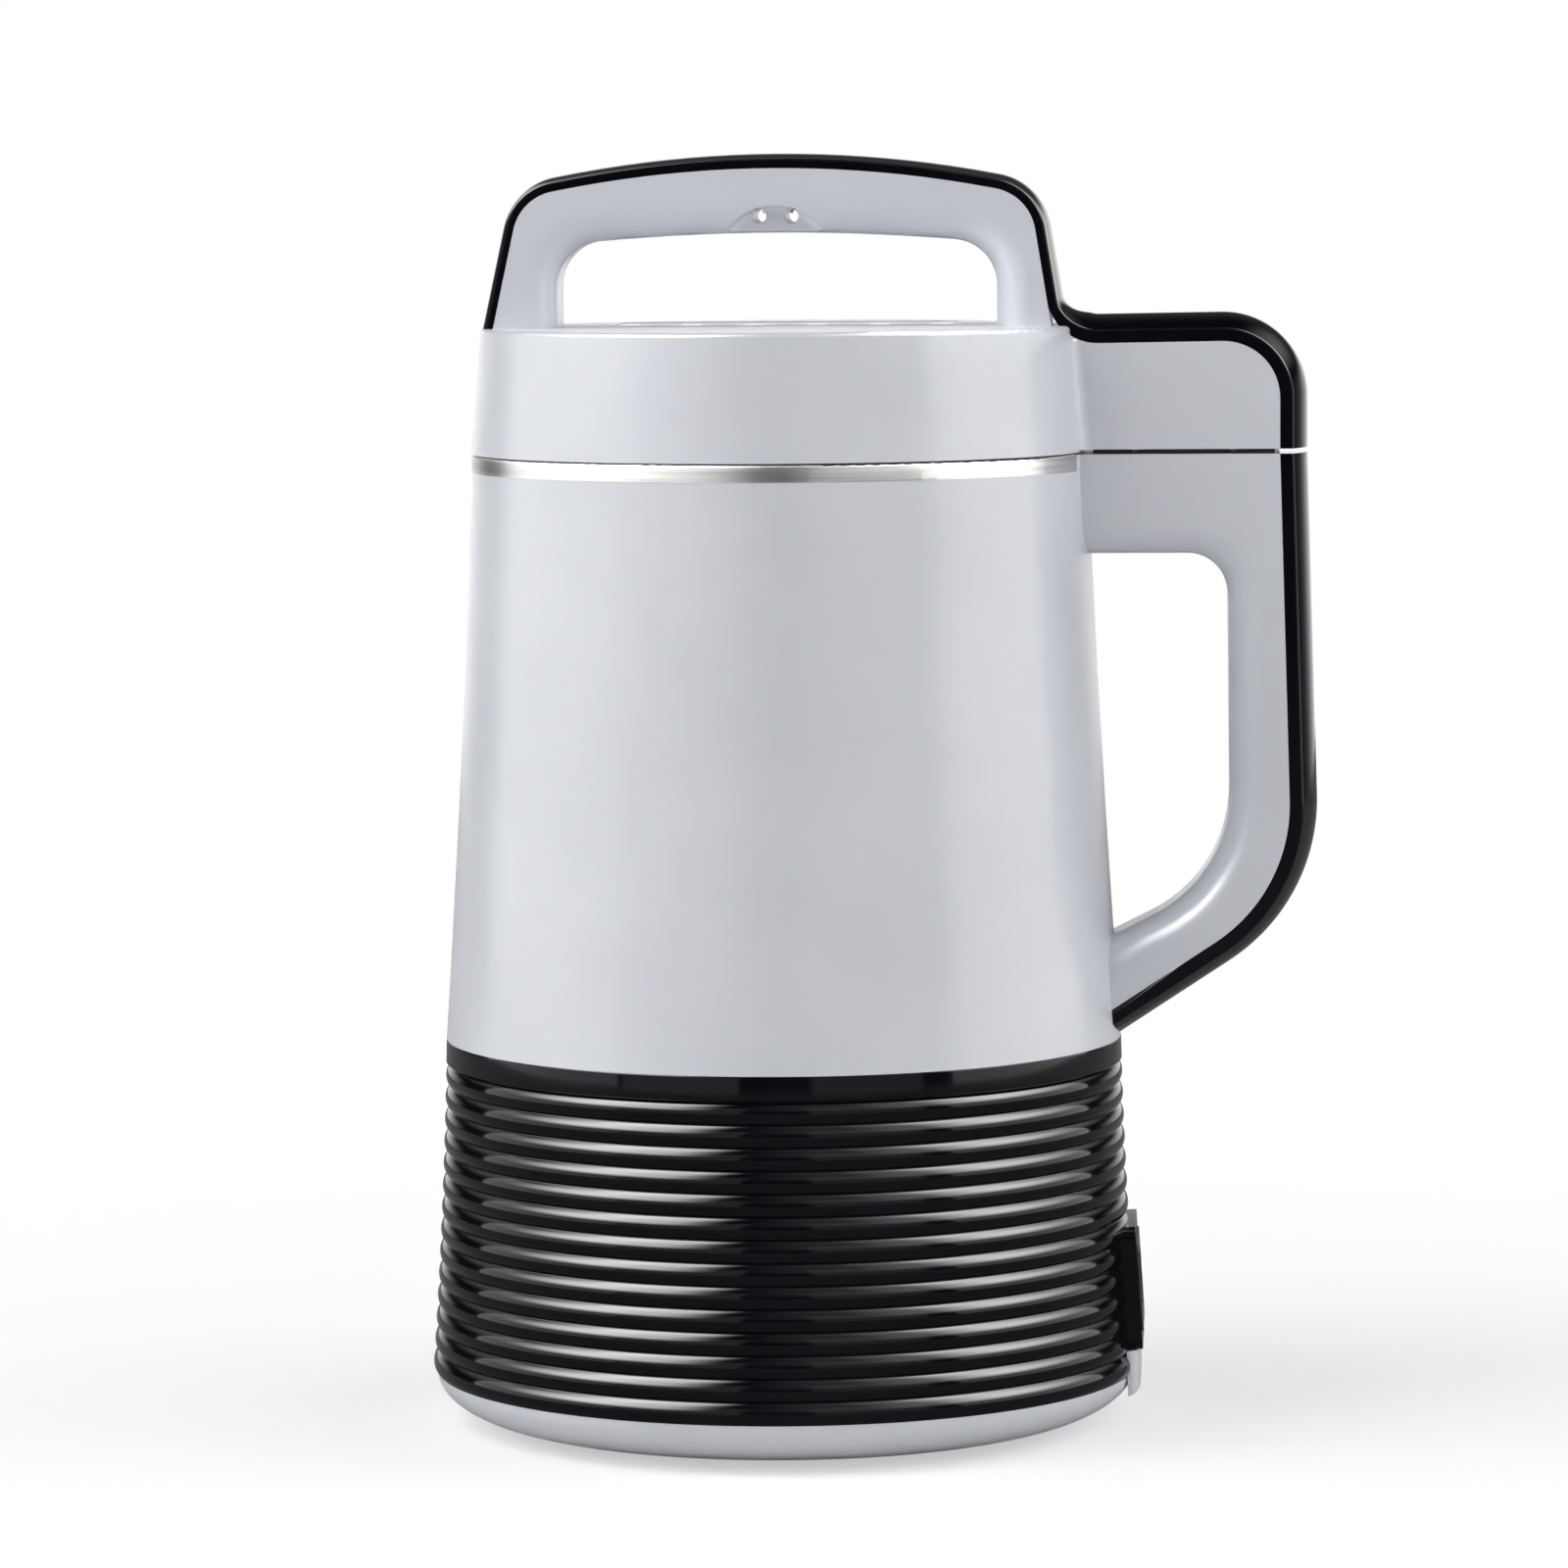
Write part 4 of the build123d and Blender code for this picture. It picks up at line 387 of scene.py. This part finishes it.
# %% Mix the plastics
finishes = {
    "grey_plastic": finish(
        "grey_plastic", (0.505, 0.52, 0.556), (0.53, 0.545, 0.581), 25, (0.26, 0.32), 700, 0.05,
        Coat_Weight=0.25, Coat_Roughness=0.18),
    "black_gloss": finish(
        "black_gloss", (0.0025, 0.0022, 0.0036), (0.004, 0.0035, 0.0055), 30, (0.06, 0.1), 500, 0.04,
        Specular_IOR_Level=0.18),
    "black_plastic": finish(
        "black_plastic", (0.018, 0.018, 0.02), (0.028, 0.028, 0.03), 60, (0.38, 0.5), 1500, 0.15),
    "fascia_black": finish(
        "fascia_black", (0.006, 0.006, 0.008), (0.01, 0.01, 0.012), 30, (0.08, 0.14), 600, 0.03,
        Coat_Weight=0.5, Coat_Roughness=0.04),
    "button_grey": finish("button_grey", (0.4, 0.41, 0.43), (0.45, 0.46, 0.48), 80, (0.3, 0.38), 1500, 0.12),
    "lamp_red": finish(
        "lamp_red", (0.32, 0.012, 0.01), (0.42, 0.02, 0.014), 200, (0.12, 0.18), 900, 0.05,
        Coat_Weight=0.6),
    "fan": finish("fan_nylon", (0.62, 0.61, 0.56), (0.7, 0.69, 0.64), 60, (0.42, 0.5), 1200, 0.1),
    "ceramic": finish(
        "thermostat_ceramic", (0.68, 0.64, 0.55), (0.76, 0.72, 0.64), 120, (0.5, 0.62), 2200, 0.25),
    "rubber": finish("foot_rubber", (0.02, 0.02, 0.021), (0.032, 0.032, 0.034), 90, (0.62, 0.75), 1800, 0.3),
    "circuit_board": finish(
        "board_varnish", (0.006, 0.075, 0.022), (0.012, 0.11, 0.034), 140, (0.25, 0.36), 1600, 0.15),
}
print(len(finishes), "plastics, rubbers and boards")

# %% [markdown]
# ## The metals
#
# The cup is drawn and then brushed while it turns, so its marks run round it as
# fine level lines. The grain is stretched that way: slow along the circle and quick
# up the wall. Blades, shafts and screws are finished by other machines, each with
# its own gloss.

# %% Mix the metals
brushed_round = (3, 3, 160)
wound_round = (1, 1, 6)
finishes |= {
    "cup_steel": finish(
        "cup_steel", (0.5, 0.485, 0.475), (0.68, 0.665, 0.65), 6, (0.27, 0.33), 16, 0.14,
        brushed_round, Metallic=1.0),
    "bright_steel": finish(
        "bright_steel", (0.55, 0.55, 0.56), (0.63, 0.63, 0.64), 60, (0.1, 0.2), 500, 0.06, Metallic=1.0),
    "zinc_steel": finish(
        "zinc_steel", (0.42, 0.44, 0.48), (0.56, 0.57, 0.58), 130, (0.28, 0.42), 900, 0.15, Metallic=1.0),
    "aluminium": finish(
        "cast_aluminium", (0.5, 0.5, 0.52), (0.62, 0.62, 0.63), 90, (0.4, 0.55), 1100, 0.35, Metallic=1.0),
    "brass": finish(
        "contact_brass", (0.58, 0.42, 0.17), (0.68, 0.52, 0.24), 110, (0.2, 0.32), 800, 0.1, Metallic=1.0),
    "copper": finish(
        "coil_copper", (0.5, 0.17, 0.06), (0.66, 0.25, 0.1), 100, (0.22, 0.36), 320, 0.6,
        wound_round, Metallic=1.0),
    "bush": finish(
        "sintered_bronze", (0.36, 0.25, 0.15), (0.46, 0.33, 0.2), 260, (0.45, 0.6), 1500, 0.4,
        Metallic=1.0),
}
for part in frame["record"]["subparts"]:
    node = nodes[part["node"]]
    node.data.materials.clear()
    node.data.materials.append(finishes[part["material_slot"]])
print(len(finishes), "finishes on", len(nodes), "nodes")

# %% [markdown]
# ## Helpers for modelling
#
# Every piece starts as a primitive. Operators act on all that is selected, and a
# new primitive is selected all over, so the first helper clears the selection
# before it adds one. The second lays the vertices of a circle on an outline, which
# is how a side view becomes a ring of edges.

# %% Start a piece, and lay an outline
def start(kind, name, **values):
    """Add a primitive with nothing else selected."""
    bpy.ops.object.select_all(action="DESELECT")
    getattr(bpy.ops.mesh, f"primitive_{kind}_add")(**values)
    bpy.context.object.name = name
    return bpy.context.object


def lay_outline(name, points, fill="NOTHING"):
    """A ring of edges with one vertex on each point, in millimetres."""
    ring = start("circle", name, vertices=len(points), radius=1, fill_type=fill)
    for vertex, point in zip(ring.data.vertices, points):
        vertex.co = Vector(point) * mm
    return ring


# %% [markdown]
# A side view has straight runs and rounded corners. The next helper takes the
# corners and their radii, and returns points along the rounded line, close enough
# together to look smooth.

# %% Round the corners of a line
def rounded(corners, radii, steps=12):
    """Points along a line of corners (x, z), with an arc at each inner corner."""
    points = [Vector(corners[0])]
    for before, corner, after, radius in zip(corners, corners[1:], corners[2:], radii):
        before, corner, after = Vector(before), Vector(corner), Vector(after)
        back, on = (before - corner).normalized(), (after - corner).normalized()
        half = back.angle(on) / 2
        bisector = (back + on).normalized()
        centre = corner + bisector * radius / sin(half)
        reach = radius / tan(half)
        first = corner + back * reach - centre
        last = corner + on * reach - centre
        turn = first.angle_signed(last)
        for step in range(steps + 1):
            angle = -turn * step / steps
            across = first.x * cos(angle) - first.y * sin(angle)
            up = first.x * sin(angle) + first.y * cos(angle)
            points.append(centre + Vector((across, up)))
    points.append(Vector(corners[-1]))
    return points


# %% [markdown]
# Round pieces are turned, as on a lathe: the outline of half a section is spun
# about the jug's axis. The spin ends where it began, so the doubled vertices are
# merged, loose edges on the axis go, and the normals are turned outwards.

# %% Turn a section on the lathe
def tidy_mesh(piece, angle=30):
    """Merge doubled vertices, turn the faces outwards and shade by angle."""
    bpy.ops.mesh.select_all(action="SELECT")
    bpy.ops.mesh.remove_doubles(threshold=0.002 * mm)
    bpy.ops.mesh.delete_loose(use_verts=True, use_edges=True, use_faces=False)
    bpy.ops.mesh.select_all(action="SELECT")
    bpy.ops.mesh.normals_make_consistent(inside=False)
    bpy.ops.object.mode_set(mode="OBJECT")
    bpy.ops.object.shade_smooth_by_angle(angle=radians(angle))
    print(piece.name, "has", len(piece.data.polygons), "faces")
    return piece


def turned(name, section, steps=144, angle=30):
    """A closed section of (radius, z) points, spun about the jug's axis."""
    ring = lay_outline(name, [(r, 0, z) for r, z in section])
    bpy.ops.object.mode_set(mode="EDIT")
    bpy.ops.mesh.select_all(action="SELECT")
    bpy.ops.mesh.spin(steps=steps, angle=tau, center=(0, 0, 0), axis=(0, 0, 1))
    return tidy_mesh(ring, angle)


# %% [markdown]
# A cutter is a piece that only shapes another. The boolean modifier does it, and is
# applied at once, so the mesh is final and the cutter can go. A finished piece is
# then dressed. Its broad flat faces get the most weight in the shading, so that
# they look flat up to their rounded edges.

# %% Cut one piece with another
def cut(piece, cutter, operation="DIFFERENCE"):
    """Shape a piece with a cutter, which is removed."""
    bpy.ops.object.select_all(action="DESELECT")
    bpy.context.view_layer.objects.active = piece
    piece.select_set(True)
    knife = piece.modifiers.new("cutter", "BOOLEAN")
    knife.object, knife.operation, knife.solver = cutter, operation, "EXACT"
    bpy.ops.object.modifier_apply(modifier="cutter")
    bpy.data.objects.remove(cutter)


def dress(piece, body, slot, *replaced):
    """Give a piece its finish and its body, and hide the CAD nodes that it stands for."""
    bpy.ops.object.select_all(action="DESELECT")
    bpy.context.view_layer.objects.active = piece
    piece.select_set(True)
    flats = piece.modifiers.new("flats", "WEIGHTED_NORMAL")
    flats.keep_sharp = True
    bpy.ops.object.modifier_apply(modifier="flats")
    piece.data.materials.clear()
    piece.data.materials.append(finishes[slot])
    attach(piece, body)
    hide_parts(*replaced)


# %% [markdown]
# Bevels work on chosen edges. By hand they would be clicked on, here a test of their
# two ends picks them. All flags are set in object mode, in one pass, so that no
# other edge comes along.

# %% A helper that picks edges by their place
def pick_edges(piece, test):
    """In edit mode, select the edges whose two ends (a, b), in millimetres, pass a test."""
    if bpy.context.object.mode == "EDIT":
        bpy.ops.object.mode_set(mode="OBJECT")
    bpy.ops.object.select_all(action="DESELECT")
    bpy.context.view_layer.objects.active = piece
    piece.select_set(True)
    bpy.ops.object.mode_set(mode="EDIT")
    bpy.ops.mesh.select_mode(type="EDGE")
    bpy.ops.mesh.select_all(action="DESELECT")
    bpy.ops.object.mode_set(mode="OBJECT")
    for edge in piece.data.edges:
        edge.select = test(*(piece.data.vertices[i].co / mm for i in edge.vertices))
    bpy.ops.object.mode_set(mode="EDIT")


# %% [markdown]
# ## The ribbed skirt
#
# The skirt is one black moulding with fourteen ribs, which hide the seam to the
# foot and give the hands a grip. Each rib is a low arc, and all of them follow a
# flared line that bows slightly inwards. Ribs could be cut or drawn on with bump,
# but they make the jug's outline, so the whole section is turned, rib by rib.

# %% Turn the skirt
skirt_low, skirt_high = 13.8, 103.9
foot_r, wall_foot_r, skirt_bow = 95.3, 90.7, 0.5
rib_count, rib_pitch, rib_relief = 14, 5.95, 1.2
rib_r = ((rib_pitch / 2) ** 2 + rib_relief ** 2) / (2 * rib_relief)


def skirt_line(z):
    """Radius of the line over the ribs' crests."""
    share = (z - skirt_low) / (skirt_high - skirt_low)
    return foot_r + (wall_foot_r - foot_r) * share - 4 * skirt_bow * share * (1 - share)


section = []
for rib in range(rib_count):
    for step in range(-6, 6):
        off = step / 12 * rib_pitch
        z = skirt_low + (rib + 0.5) * rib_pitch + off
        section.append((skirt_line(z) - rib_r + sqrt(rib_r ** 2 - off ** 2), z))
rib_top = skirt_low + rib_count * rib_pitch
section += [(skirt_line(rib_top) - rib_relief, rib_top), (skirt_line(rib_top) - rib_relief, rib_top + 0.2),
            (skirt_line(rib_top) - 0.3, rib_top + 0.3), (skirt_line(rib_top), rib_top + 0.6),
            (90.75, skirt_high - 0.5), (90.5, skirt_high), (87.0, skirt_high), (91.4, skirt_low)]
skirt = turned("ribbed_skirt", section, steps=160, angle=40)
print("The skirt is", round(skirt.dimensions.x / mm, 1), "mm wide")

# %% [markdown]
# On the handle's side the skirt carries a flat panel for the mains inlet. It is
# almost upright: it leans back with the flare of the skirt. The panel is a bevelled
# block joined to the ribs, and two more blocks cut the inlet's hole and the place
# of the lug below it.

# %% Add the inlet panel
panel_x, panel_z = 95.55, 37.5
panel_foot, panel_top = 21, 54
panel_height = panel_top - panel_foot
panel_lean = atan2(skirt_line(panel_foot) - skirt_line(panel_top), panel_height)


def panel_block(name, depth, width, height, rise=0.0, proud=0.0, corner=0.0):
    """A block set against the panel's plane, with its four corners rounded.

    proud is how far its face stands before the plane, rise how far its middle lies
    above the panel's.
    """
    inward = proud - depth / 2
    at = (panel_x + cos(panel_lean) * inward - sin(panel_lean) * rise, 0,
          panel_z + sin(panel_lean) * inward + cos(panel_lean) * rise)
    block = start("cube", name, size=1, location=Vector(at) * mm, rotation=(0, -panel_lean, 0),
                  scale=(depth * mm, width * mm, height * mm))
    bpy.ops.object.transform_apply(location=False, rotation=False, scale=True)
    if corner:
        pick_edges(block, lambda a, b: abs(a.x - b.x) > depth / 2)
        bpy.ops.mesh.bevel(offset=corner * mm, segments=6, affect="EDGES")
        bpy.ops.object.mode_set(mode="OBJECT")
    bpy.ops.object.transform_apply(location=True, rotation=True, scale=True)
    return block


cut(skirt, panel_block("lug_place", 3.3, 38.2, 12.2, rise=-22.6))
cut(skirt, panel_block("panel", 9, 38, panel_height, corner=3), "UNION")
cut(skirt, panel_block("inlet_hole", 13, 27, 19.8, proud=2))
bpy.ops.object.shade_smooth_by_angle(angle=radians(40))
dress(skirt, "jug", "black_gloss", "base_skirt")
print("The skirt and its panel have", len(skirt.data.polygons), "faces")

# %% [markdown]
# ## The black strips
#
# Two black strips run over the handles: one down the back of the jug handle, and
# one over the carrying arch, round the knee and along the head's arm. They have
# upright sides and a domed face, and light runs along the ridge between the two.
# A curve could be swept, but a strip that thickens on its way is easier as a grid:
# one row of vertices for each point of the line, one column for each point of the
# section, and the grid's two long edges merged.

# %% Bend a grid into a strip
half_width = 17.0
ridge_r = 0.7


def dome_section(side, crown, half=half_width, ridge=ridge_r):
    """(across, outwards) points of a strip: flat back, upright sides, round ridges, domed face."""
    dome_r = (half ** 2 + crown ** 2) / (2 * crown)
    lean = atan2(half - ridge, dome_r - crown)
    points = [(-half, 0), (-half, side * 0.5), (-half, side - ridge * 0.4)]
    for step in range(5):
        angle = pi - step / 4 * (pi / 2 - lean * 0.8)
        points.append((-half + ridge + ridge * cos(angle), side - ridge * 0.4 + ridge * sin(angle)))
    for step in range(1, 16):
        across = (half - ridge) * (step / 8 - 1)
        points.append((across, side + crown - dome_r + sqrt(dome_r ** 2 - across ** 2)))
    return points + [(-across, out) for across, out in reversed(points[:8])]


def strip(name, line, sections):
    """A closed strip along a line of (place, outwards) pairs, with a section at each."""
    columns, rows = len(sections[0]), len(line)
    grid = start("grid", name, x_subdivisions=columns, y_subdivisions=rows - 1, size=1)
    for number, vertex in enumerate(grid.data.vertices):
        row, column = divmod(number, columns + 1)
        (place, outwards), (across, out) = line[row], sections[row][column % columns]
        vertex.co = Vector((place.x + outwards.x * out, across, place.y + outwards.y * out)) * mm
    bpy.ops.object.mode_set(mode="EDIT")
    bpy.ops.mesh.select_all(action="SELECT")
    bpy.ops.mesh.remove_doubles(threshold=0.002 * mm)
    bpy.ops.mesh.fill_holes(sides=0)
    return tidy_mesh(grid, 40)


def with_outwards(points):
    """Each point with the direction that lies to the left of the line there."""
    pairs = []
    for number, point in enumerate(points):
        ahead = points[min(number + 1, len(points) - 1)] - points[max(number - 1, 0)]
        ahead.normalize()
        pairs.append((point, Vector((-ahead.y, ahead.x))))
    return pairs


# %% [markdown]
# The jug handle's strip starts level with the top of the handle's block. It goes
# down the grip, round a wide bend and back to the wall, where a turned copy of the
# wall's outside trims its end.

# %% Model the jug handle's strip
strip_x = 133.3
grip_side, grip_crown = 3.3, 4.2
grip_line = with_outwards(rounded([(strip_x, 260.1), (136.4, 143.7), (84.0, 109.35)], [44], steps=28))
grip_line[0] = (grip_line[0][0], Vector((1.0, 0.0)))
grip_sections = [dome_section(grip_side, grip_crown)] * len(grip_line)
grip_strip = strip("handle_back_strip", grip_line, grip_sections)

wall_height, wall_top_r, wall_bow = 152.0, 82.3, 0.6


def wall_point(share):
    """(radius, z) of the grey wall's outside, at a share of its height."""
    r = wall_foot_r + (wall_top_r - wall_foot_r) * share - 4 * wall_bow * share * (1 - share)
    return r, skirt_high + wall_height * share


core_foot = 90.0
core_side = [wall_point(step / 10) for step in range(6)]
wall_core = turned("wall_core", core_side + [(0, core_side[-1][1]), (0, core_foot), (wall_foot_r, core_foot)])
cut(grip_strip, wall_core)
dress(grip_strip, "jug", "black_gloss", "handle_strip")

# %% [markdown]
# The head's strip begins on the deck at the far foot of the arch. Over the arch it
# is thin. It thickens round the knee, where the arch meets the arm, to the same
# section as the strip of the jug handle, so that the two meet in one line. The
# arc over the crown takes up most of both slopes.

# %% Model the head's strip
deck = 294.0
shoulder_x, shoulder_z, arch_top = 67.4, 328.6, 341.6
shoulder_r, knee_r, arm_end_r = 13, 13.5, 15
slope_share = 0.85
crown_r = slope_share * hypot(shoulder_x, arch_top - shoulder_z) / ((arch_top - shoulder_z) / shoulder_x)
head_corners = [(-75.0, deck), (-shoulder_x, shoulder_z), (0.0, arch_top), (shoulder_x, shoulder_z),
                (73.8, 289.3), (strip_x, 290.0), (strip_x, 261.4)]
arc_steps = 20
head_points = rounded(head_corners, [shoulder_r, crown_r, shoulder_r, knee_r, arm_end_r], arc_steps)
head_line = with_outwards(head_points)
start_out = head_line[0][1]
head_line[0] = (head_line[0][0], Vector((1 / start_out.x, 0.0)))
head_line[-1] = (head_line[-1][0], Vector((1.0, 0.0)))

# The knee's arc comes after the first point and three other arcs.
knee_start = 1 + 3 * (arc_steps + 1)
thick_start, thick_steps = knee_start - 2, 18
arch_side, arch_crown = 2.2, 1.8
head_sections = []
for number in range(len(head_line)):
    along_knee = min(max((number - thick_start) / thick_steps, 0.0), 1.0)
    thick = along_knee ** 2 * (3 - 2 * along_knee)
    head_sections.append(dome_section(arch_side + (grip_side - arch_side) * thick,
                                      arch_crown + (grip_crown - arch_crown) * thick))
head_strip = strip("head_ridge_strip", head_line, head_sections)
dress(head_strip, "head", "black_gloss", "head_strip")

# %% [markdown]
# ## The carrying arch
#
# The arch is a grey moulding under its black strip, with a wide soft rounding along
# the opening, where the fingers go. It is a slab: the side view is laid as one
# face, extruded across the handle's width, and the edges along the opening get a
# wide bevel. A subdivided cage would look as soft, but a bevel keeps the flat faces
# flat.

# %% Extrude and bevel the arch
opening_x, opening_side, opening_top, opening_r = 58.4, 316.2, 320.4, 12
opening_rise = opening_top - opening_side
outer_line = [point for point in head_points[1:knee_start] if point.y > deck or point.x < 0]
outer_line = [head_points[0]] + outer_line
foot_end = head_points[len(outer_line)]
share = (outer_line[-1].y - deck) / (outer_line[-1].y - foot_end.y)
outer_line.append(outer_line[-1].lerp(foot_end, share))
opening_crown_r = slope_share * (hypot(opening_x, opening_rise) - opening_r) / (opening_rise / opening_x)
opening_corners = [(opening_x, deck), (opening_x, opening_side), (0, opening_top),
                   (-opening_x, opening_side), (-opening_x, deck)]
inner_line = rounded(opening_corners, [opening_r, opening_crown_r, opening_r])
arch = lay_outline("carrying_arch", [(p.x, -half_width, p.y) for p in outer_line + inner_line], "NGON")
bpy.ops.object.mode_set(mode="EDIT")
bpy.ops.mesh.select_all(action="SELECT")
bpy.ops.mesh.extrude_region_move(TRANSFORM_OT_translate={"value": (0, 2 * half_width * mm, 0)})
bpy.ops.mesh.select_all(action="SELECT")
bpy.ops.mesh.normals_make_consistent(inside=False)

opening_places = {(round(p.x, 1), round(p.y, 1)) for p in inner_line}


def along_opening(a, b):
    """Whether an edge runs along the opening on one face."""
    on_line = all((round(v.x, 1), round(v.z, 1)) in opening_places for v in (a, b))
    return on_line and a.y == b.y and a.z + b.z > 2 * deck


pick_edges(arch, along_opening)
bpy.ops.mesh.bevel(offset=9 * mm, segments=9, affect="EDGES")
tidy_mesh(arch, 30)

# %% [markdown]
# In the middle, a round scoop on each face holds two eyelets for a strap. The scoop
# is a cylinder with a rounded end, cut from the face, and the eyelets are drilled
# from scoop to scoop. Their lips are softened, as a moulding's are.

# %% Cut the scoops and the eyelets
scoop_r, scoop_z, scoop_floor = 16.3, 309.9, 11.0
eyelet_r, eyelet_x, eyelet_z = 1.8, 4.26, 323.4
scoop_length = 9
for side in (-1, 1):
    scoop_y = side * (scoop_floor + scoop_length / 2)
    scoop = start("cylinder", "scoop", vertices=128, radius=scoop_r * mm, depth=scoop_length * mm,
                  location=(0, scoop_y * mm, scoop_z * mm), rotation=(pi / 2, 0, 0))
    bpy.ops.object.transform_apply(location=True, rotation=True, scale=True)
    pick_edges(scoop, lambda a, b: max(abs(a.y), abs(b.y)) < scoop_floor + 0.01)
    bpy.ops.mesh.bevel(offset=2.6 * mm, segments=6, affect="EDGES")
    bpy.ops.object.mode_set(mode="OBJECT")
    cut(arch, scoop)
for x in (-eyelet_x, eyelet_x):
    cut(arch, start("cylinder", "drill", vertices=48, radius=eyelet_r * mm, depth=40 * mm,
                    location=(x * mm, 0, eyelet_z * mm), rotation=(pi / 2, 0, 0)))


def eyelet_lip(a, b):
    """Whether an edge is part of the lip round an eyelet."""
    from_bores = [hypot(abs(v.x) - eyelet_x, v.z - eyelet_z) - eyelet_r for v in (a, b)]
    return abs(a.y - b.y) < 0.01 and all(abs(off) < 0.02 for off in from_bores)


pick_edges(arch, eyelet_lip)
bpy.ops.mesh.bevel(offset=0.5 * mm, segments=4, affect="EDGES")
tidy_mesh(arch, 30)
dress(arch, "head", "grey_plastic", "arch_handle")

# %% [markdown]
# ## The bottom cover
#
# The cover closes the skirt from below, and carries a lug that stands up under the
# inlet. Its bosses and screw seats matter, so it starts as a copy of the CAD piece.
# Triangles that lie in one plane are dissolved into whole faces first.

# %% Copy a CAD piece
def whole_copy(node, name):
    """A copy of a CAD piece in edit mode, merged and with whole faces for loose triangles."""
    bpy.ops.object.select_all(action="DESELECT")
    copied = nodes[node].copy()
    copied.data = nodes[node].data.copy()
    copied.name = name
    bpy.context.scene.collection.objects.link(copied)
    bpy.context.view_layer.objects.active = copied
    copied.select_set(True)
    bpy.ops.object.mode_set(mode="EDIT")
    tidy_mesh(copied, 30)
    bpy.ops.object.mode_set(mode="EDIT")
    bpy.ops.mesh.select_all(action="SELECT")
    bpy.ops.mesh.dissolve_limited(angle_limit=radians(0.3))
    return copied


# %% [markdown]
# Only the lug is reworked: a moulded lug has no sharp corner, so its outer edges,
# which lie just behind the panel's plane, are bevelled.

# %% Round the cover's lug
lug_depth, lug_half, lug_foot, lug_top = 1.15, 18.9, 9.5, 24


def from_panel(place):
    """How far a point lies in front of the inlet panel's plane."""
    return (place.x - panel_x) * cos(panel_lean) + (place.z - panel_z) * sin(panel_lean)


def lug_edge(a, b):
    """Whether an edge is an outer edge of the lug: its foot, or one of its two sides."""
    outside = all(abs(from_panel(v) + lug_depth) < 0.1 and v.z < lug_top for v in (a, b))
    return outside and (max(a.z, b.z) < lug_foot or (abs(a.y - b.y) < 0.1 and abs(a.y) > lug_half))


cover = whole_copy("bottom_cover", "bottom_cover_soft")
pick_edges(cover, lug_edge)
bpy.ops.object.mode_set(mode="OBJECT")
print("The lug has", sum(edge.select for edge in cover.data.edges), "outer edges")
bpy.ops.object.mode_set(mode="EDIT")
bpy.ops.mesh.bevel(offset=3.6 * mm, segments=8, affect="EDGES")
tidy_mesh(cover, 30)
dress(cover, "jug", "grey_plastic", "bottom_cover")

# %% [markdown]
# ## Two smooth rims
#
# The cup's rolled rim and the head's upper edge catch a thin line of light all the
# way round. Their CAD faces come as loose triangles, which would break that line
# into teeth. So both pieces are copied and merged in the same way, and the small
# facets of each rounding are shaded as one smooth surface.

# %% Smooth the rims of the cup and the head
for node, body, slot in (("inner_cup", "jug", "cup_steel"), ("head_housing", "head", "grey_plastic")):
    rimmed = tidy_mesh(whole_copy(node, node + "_smooth"), 35)
    dress(rimmed, body, slot, node)
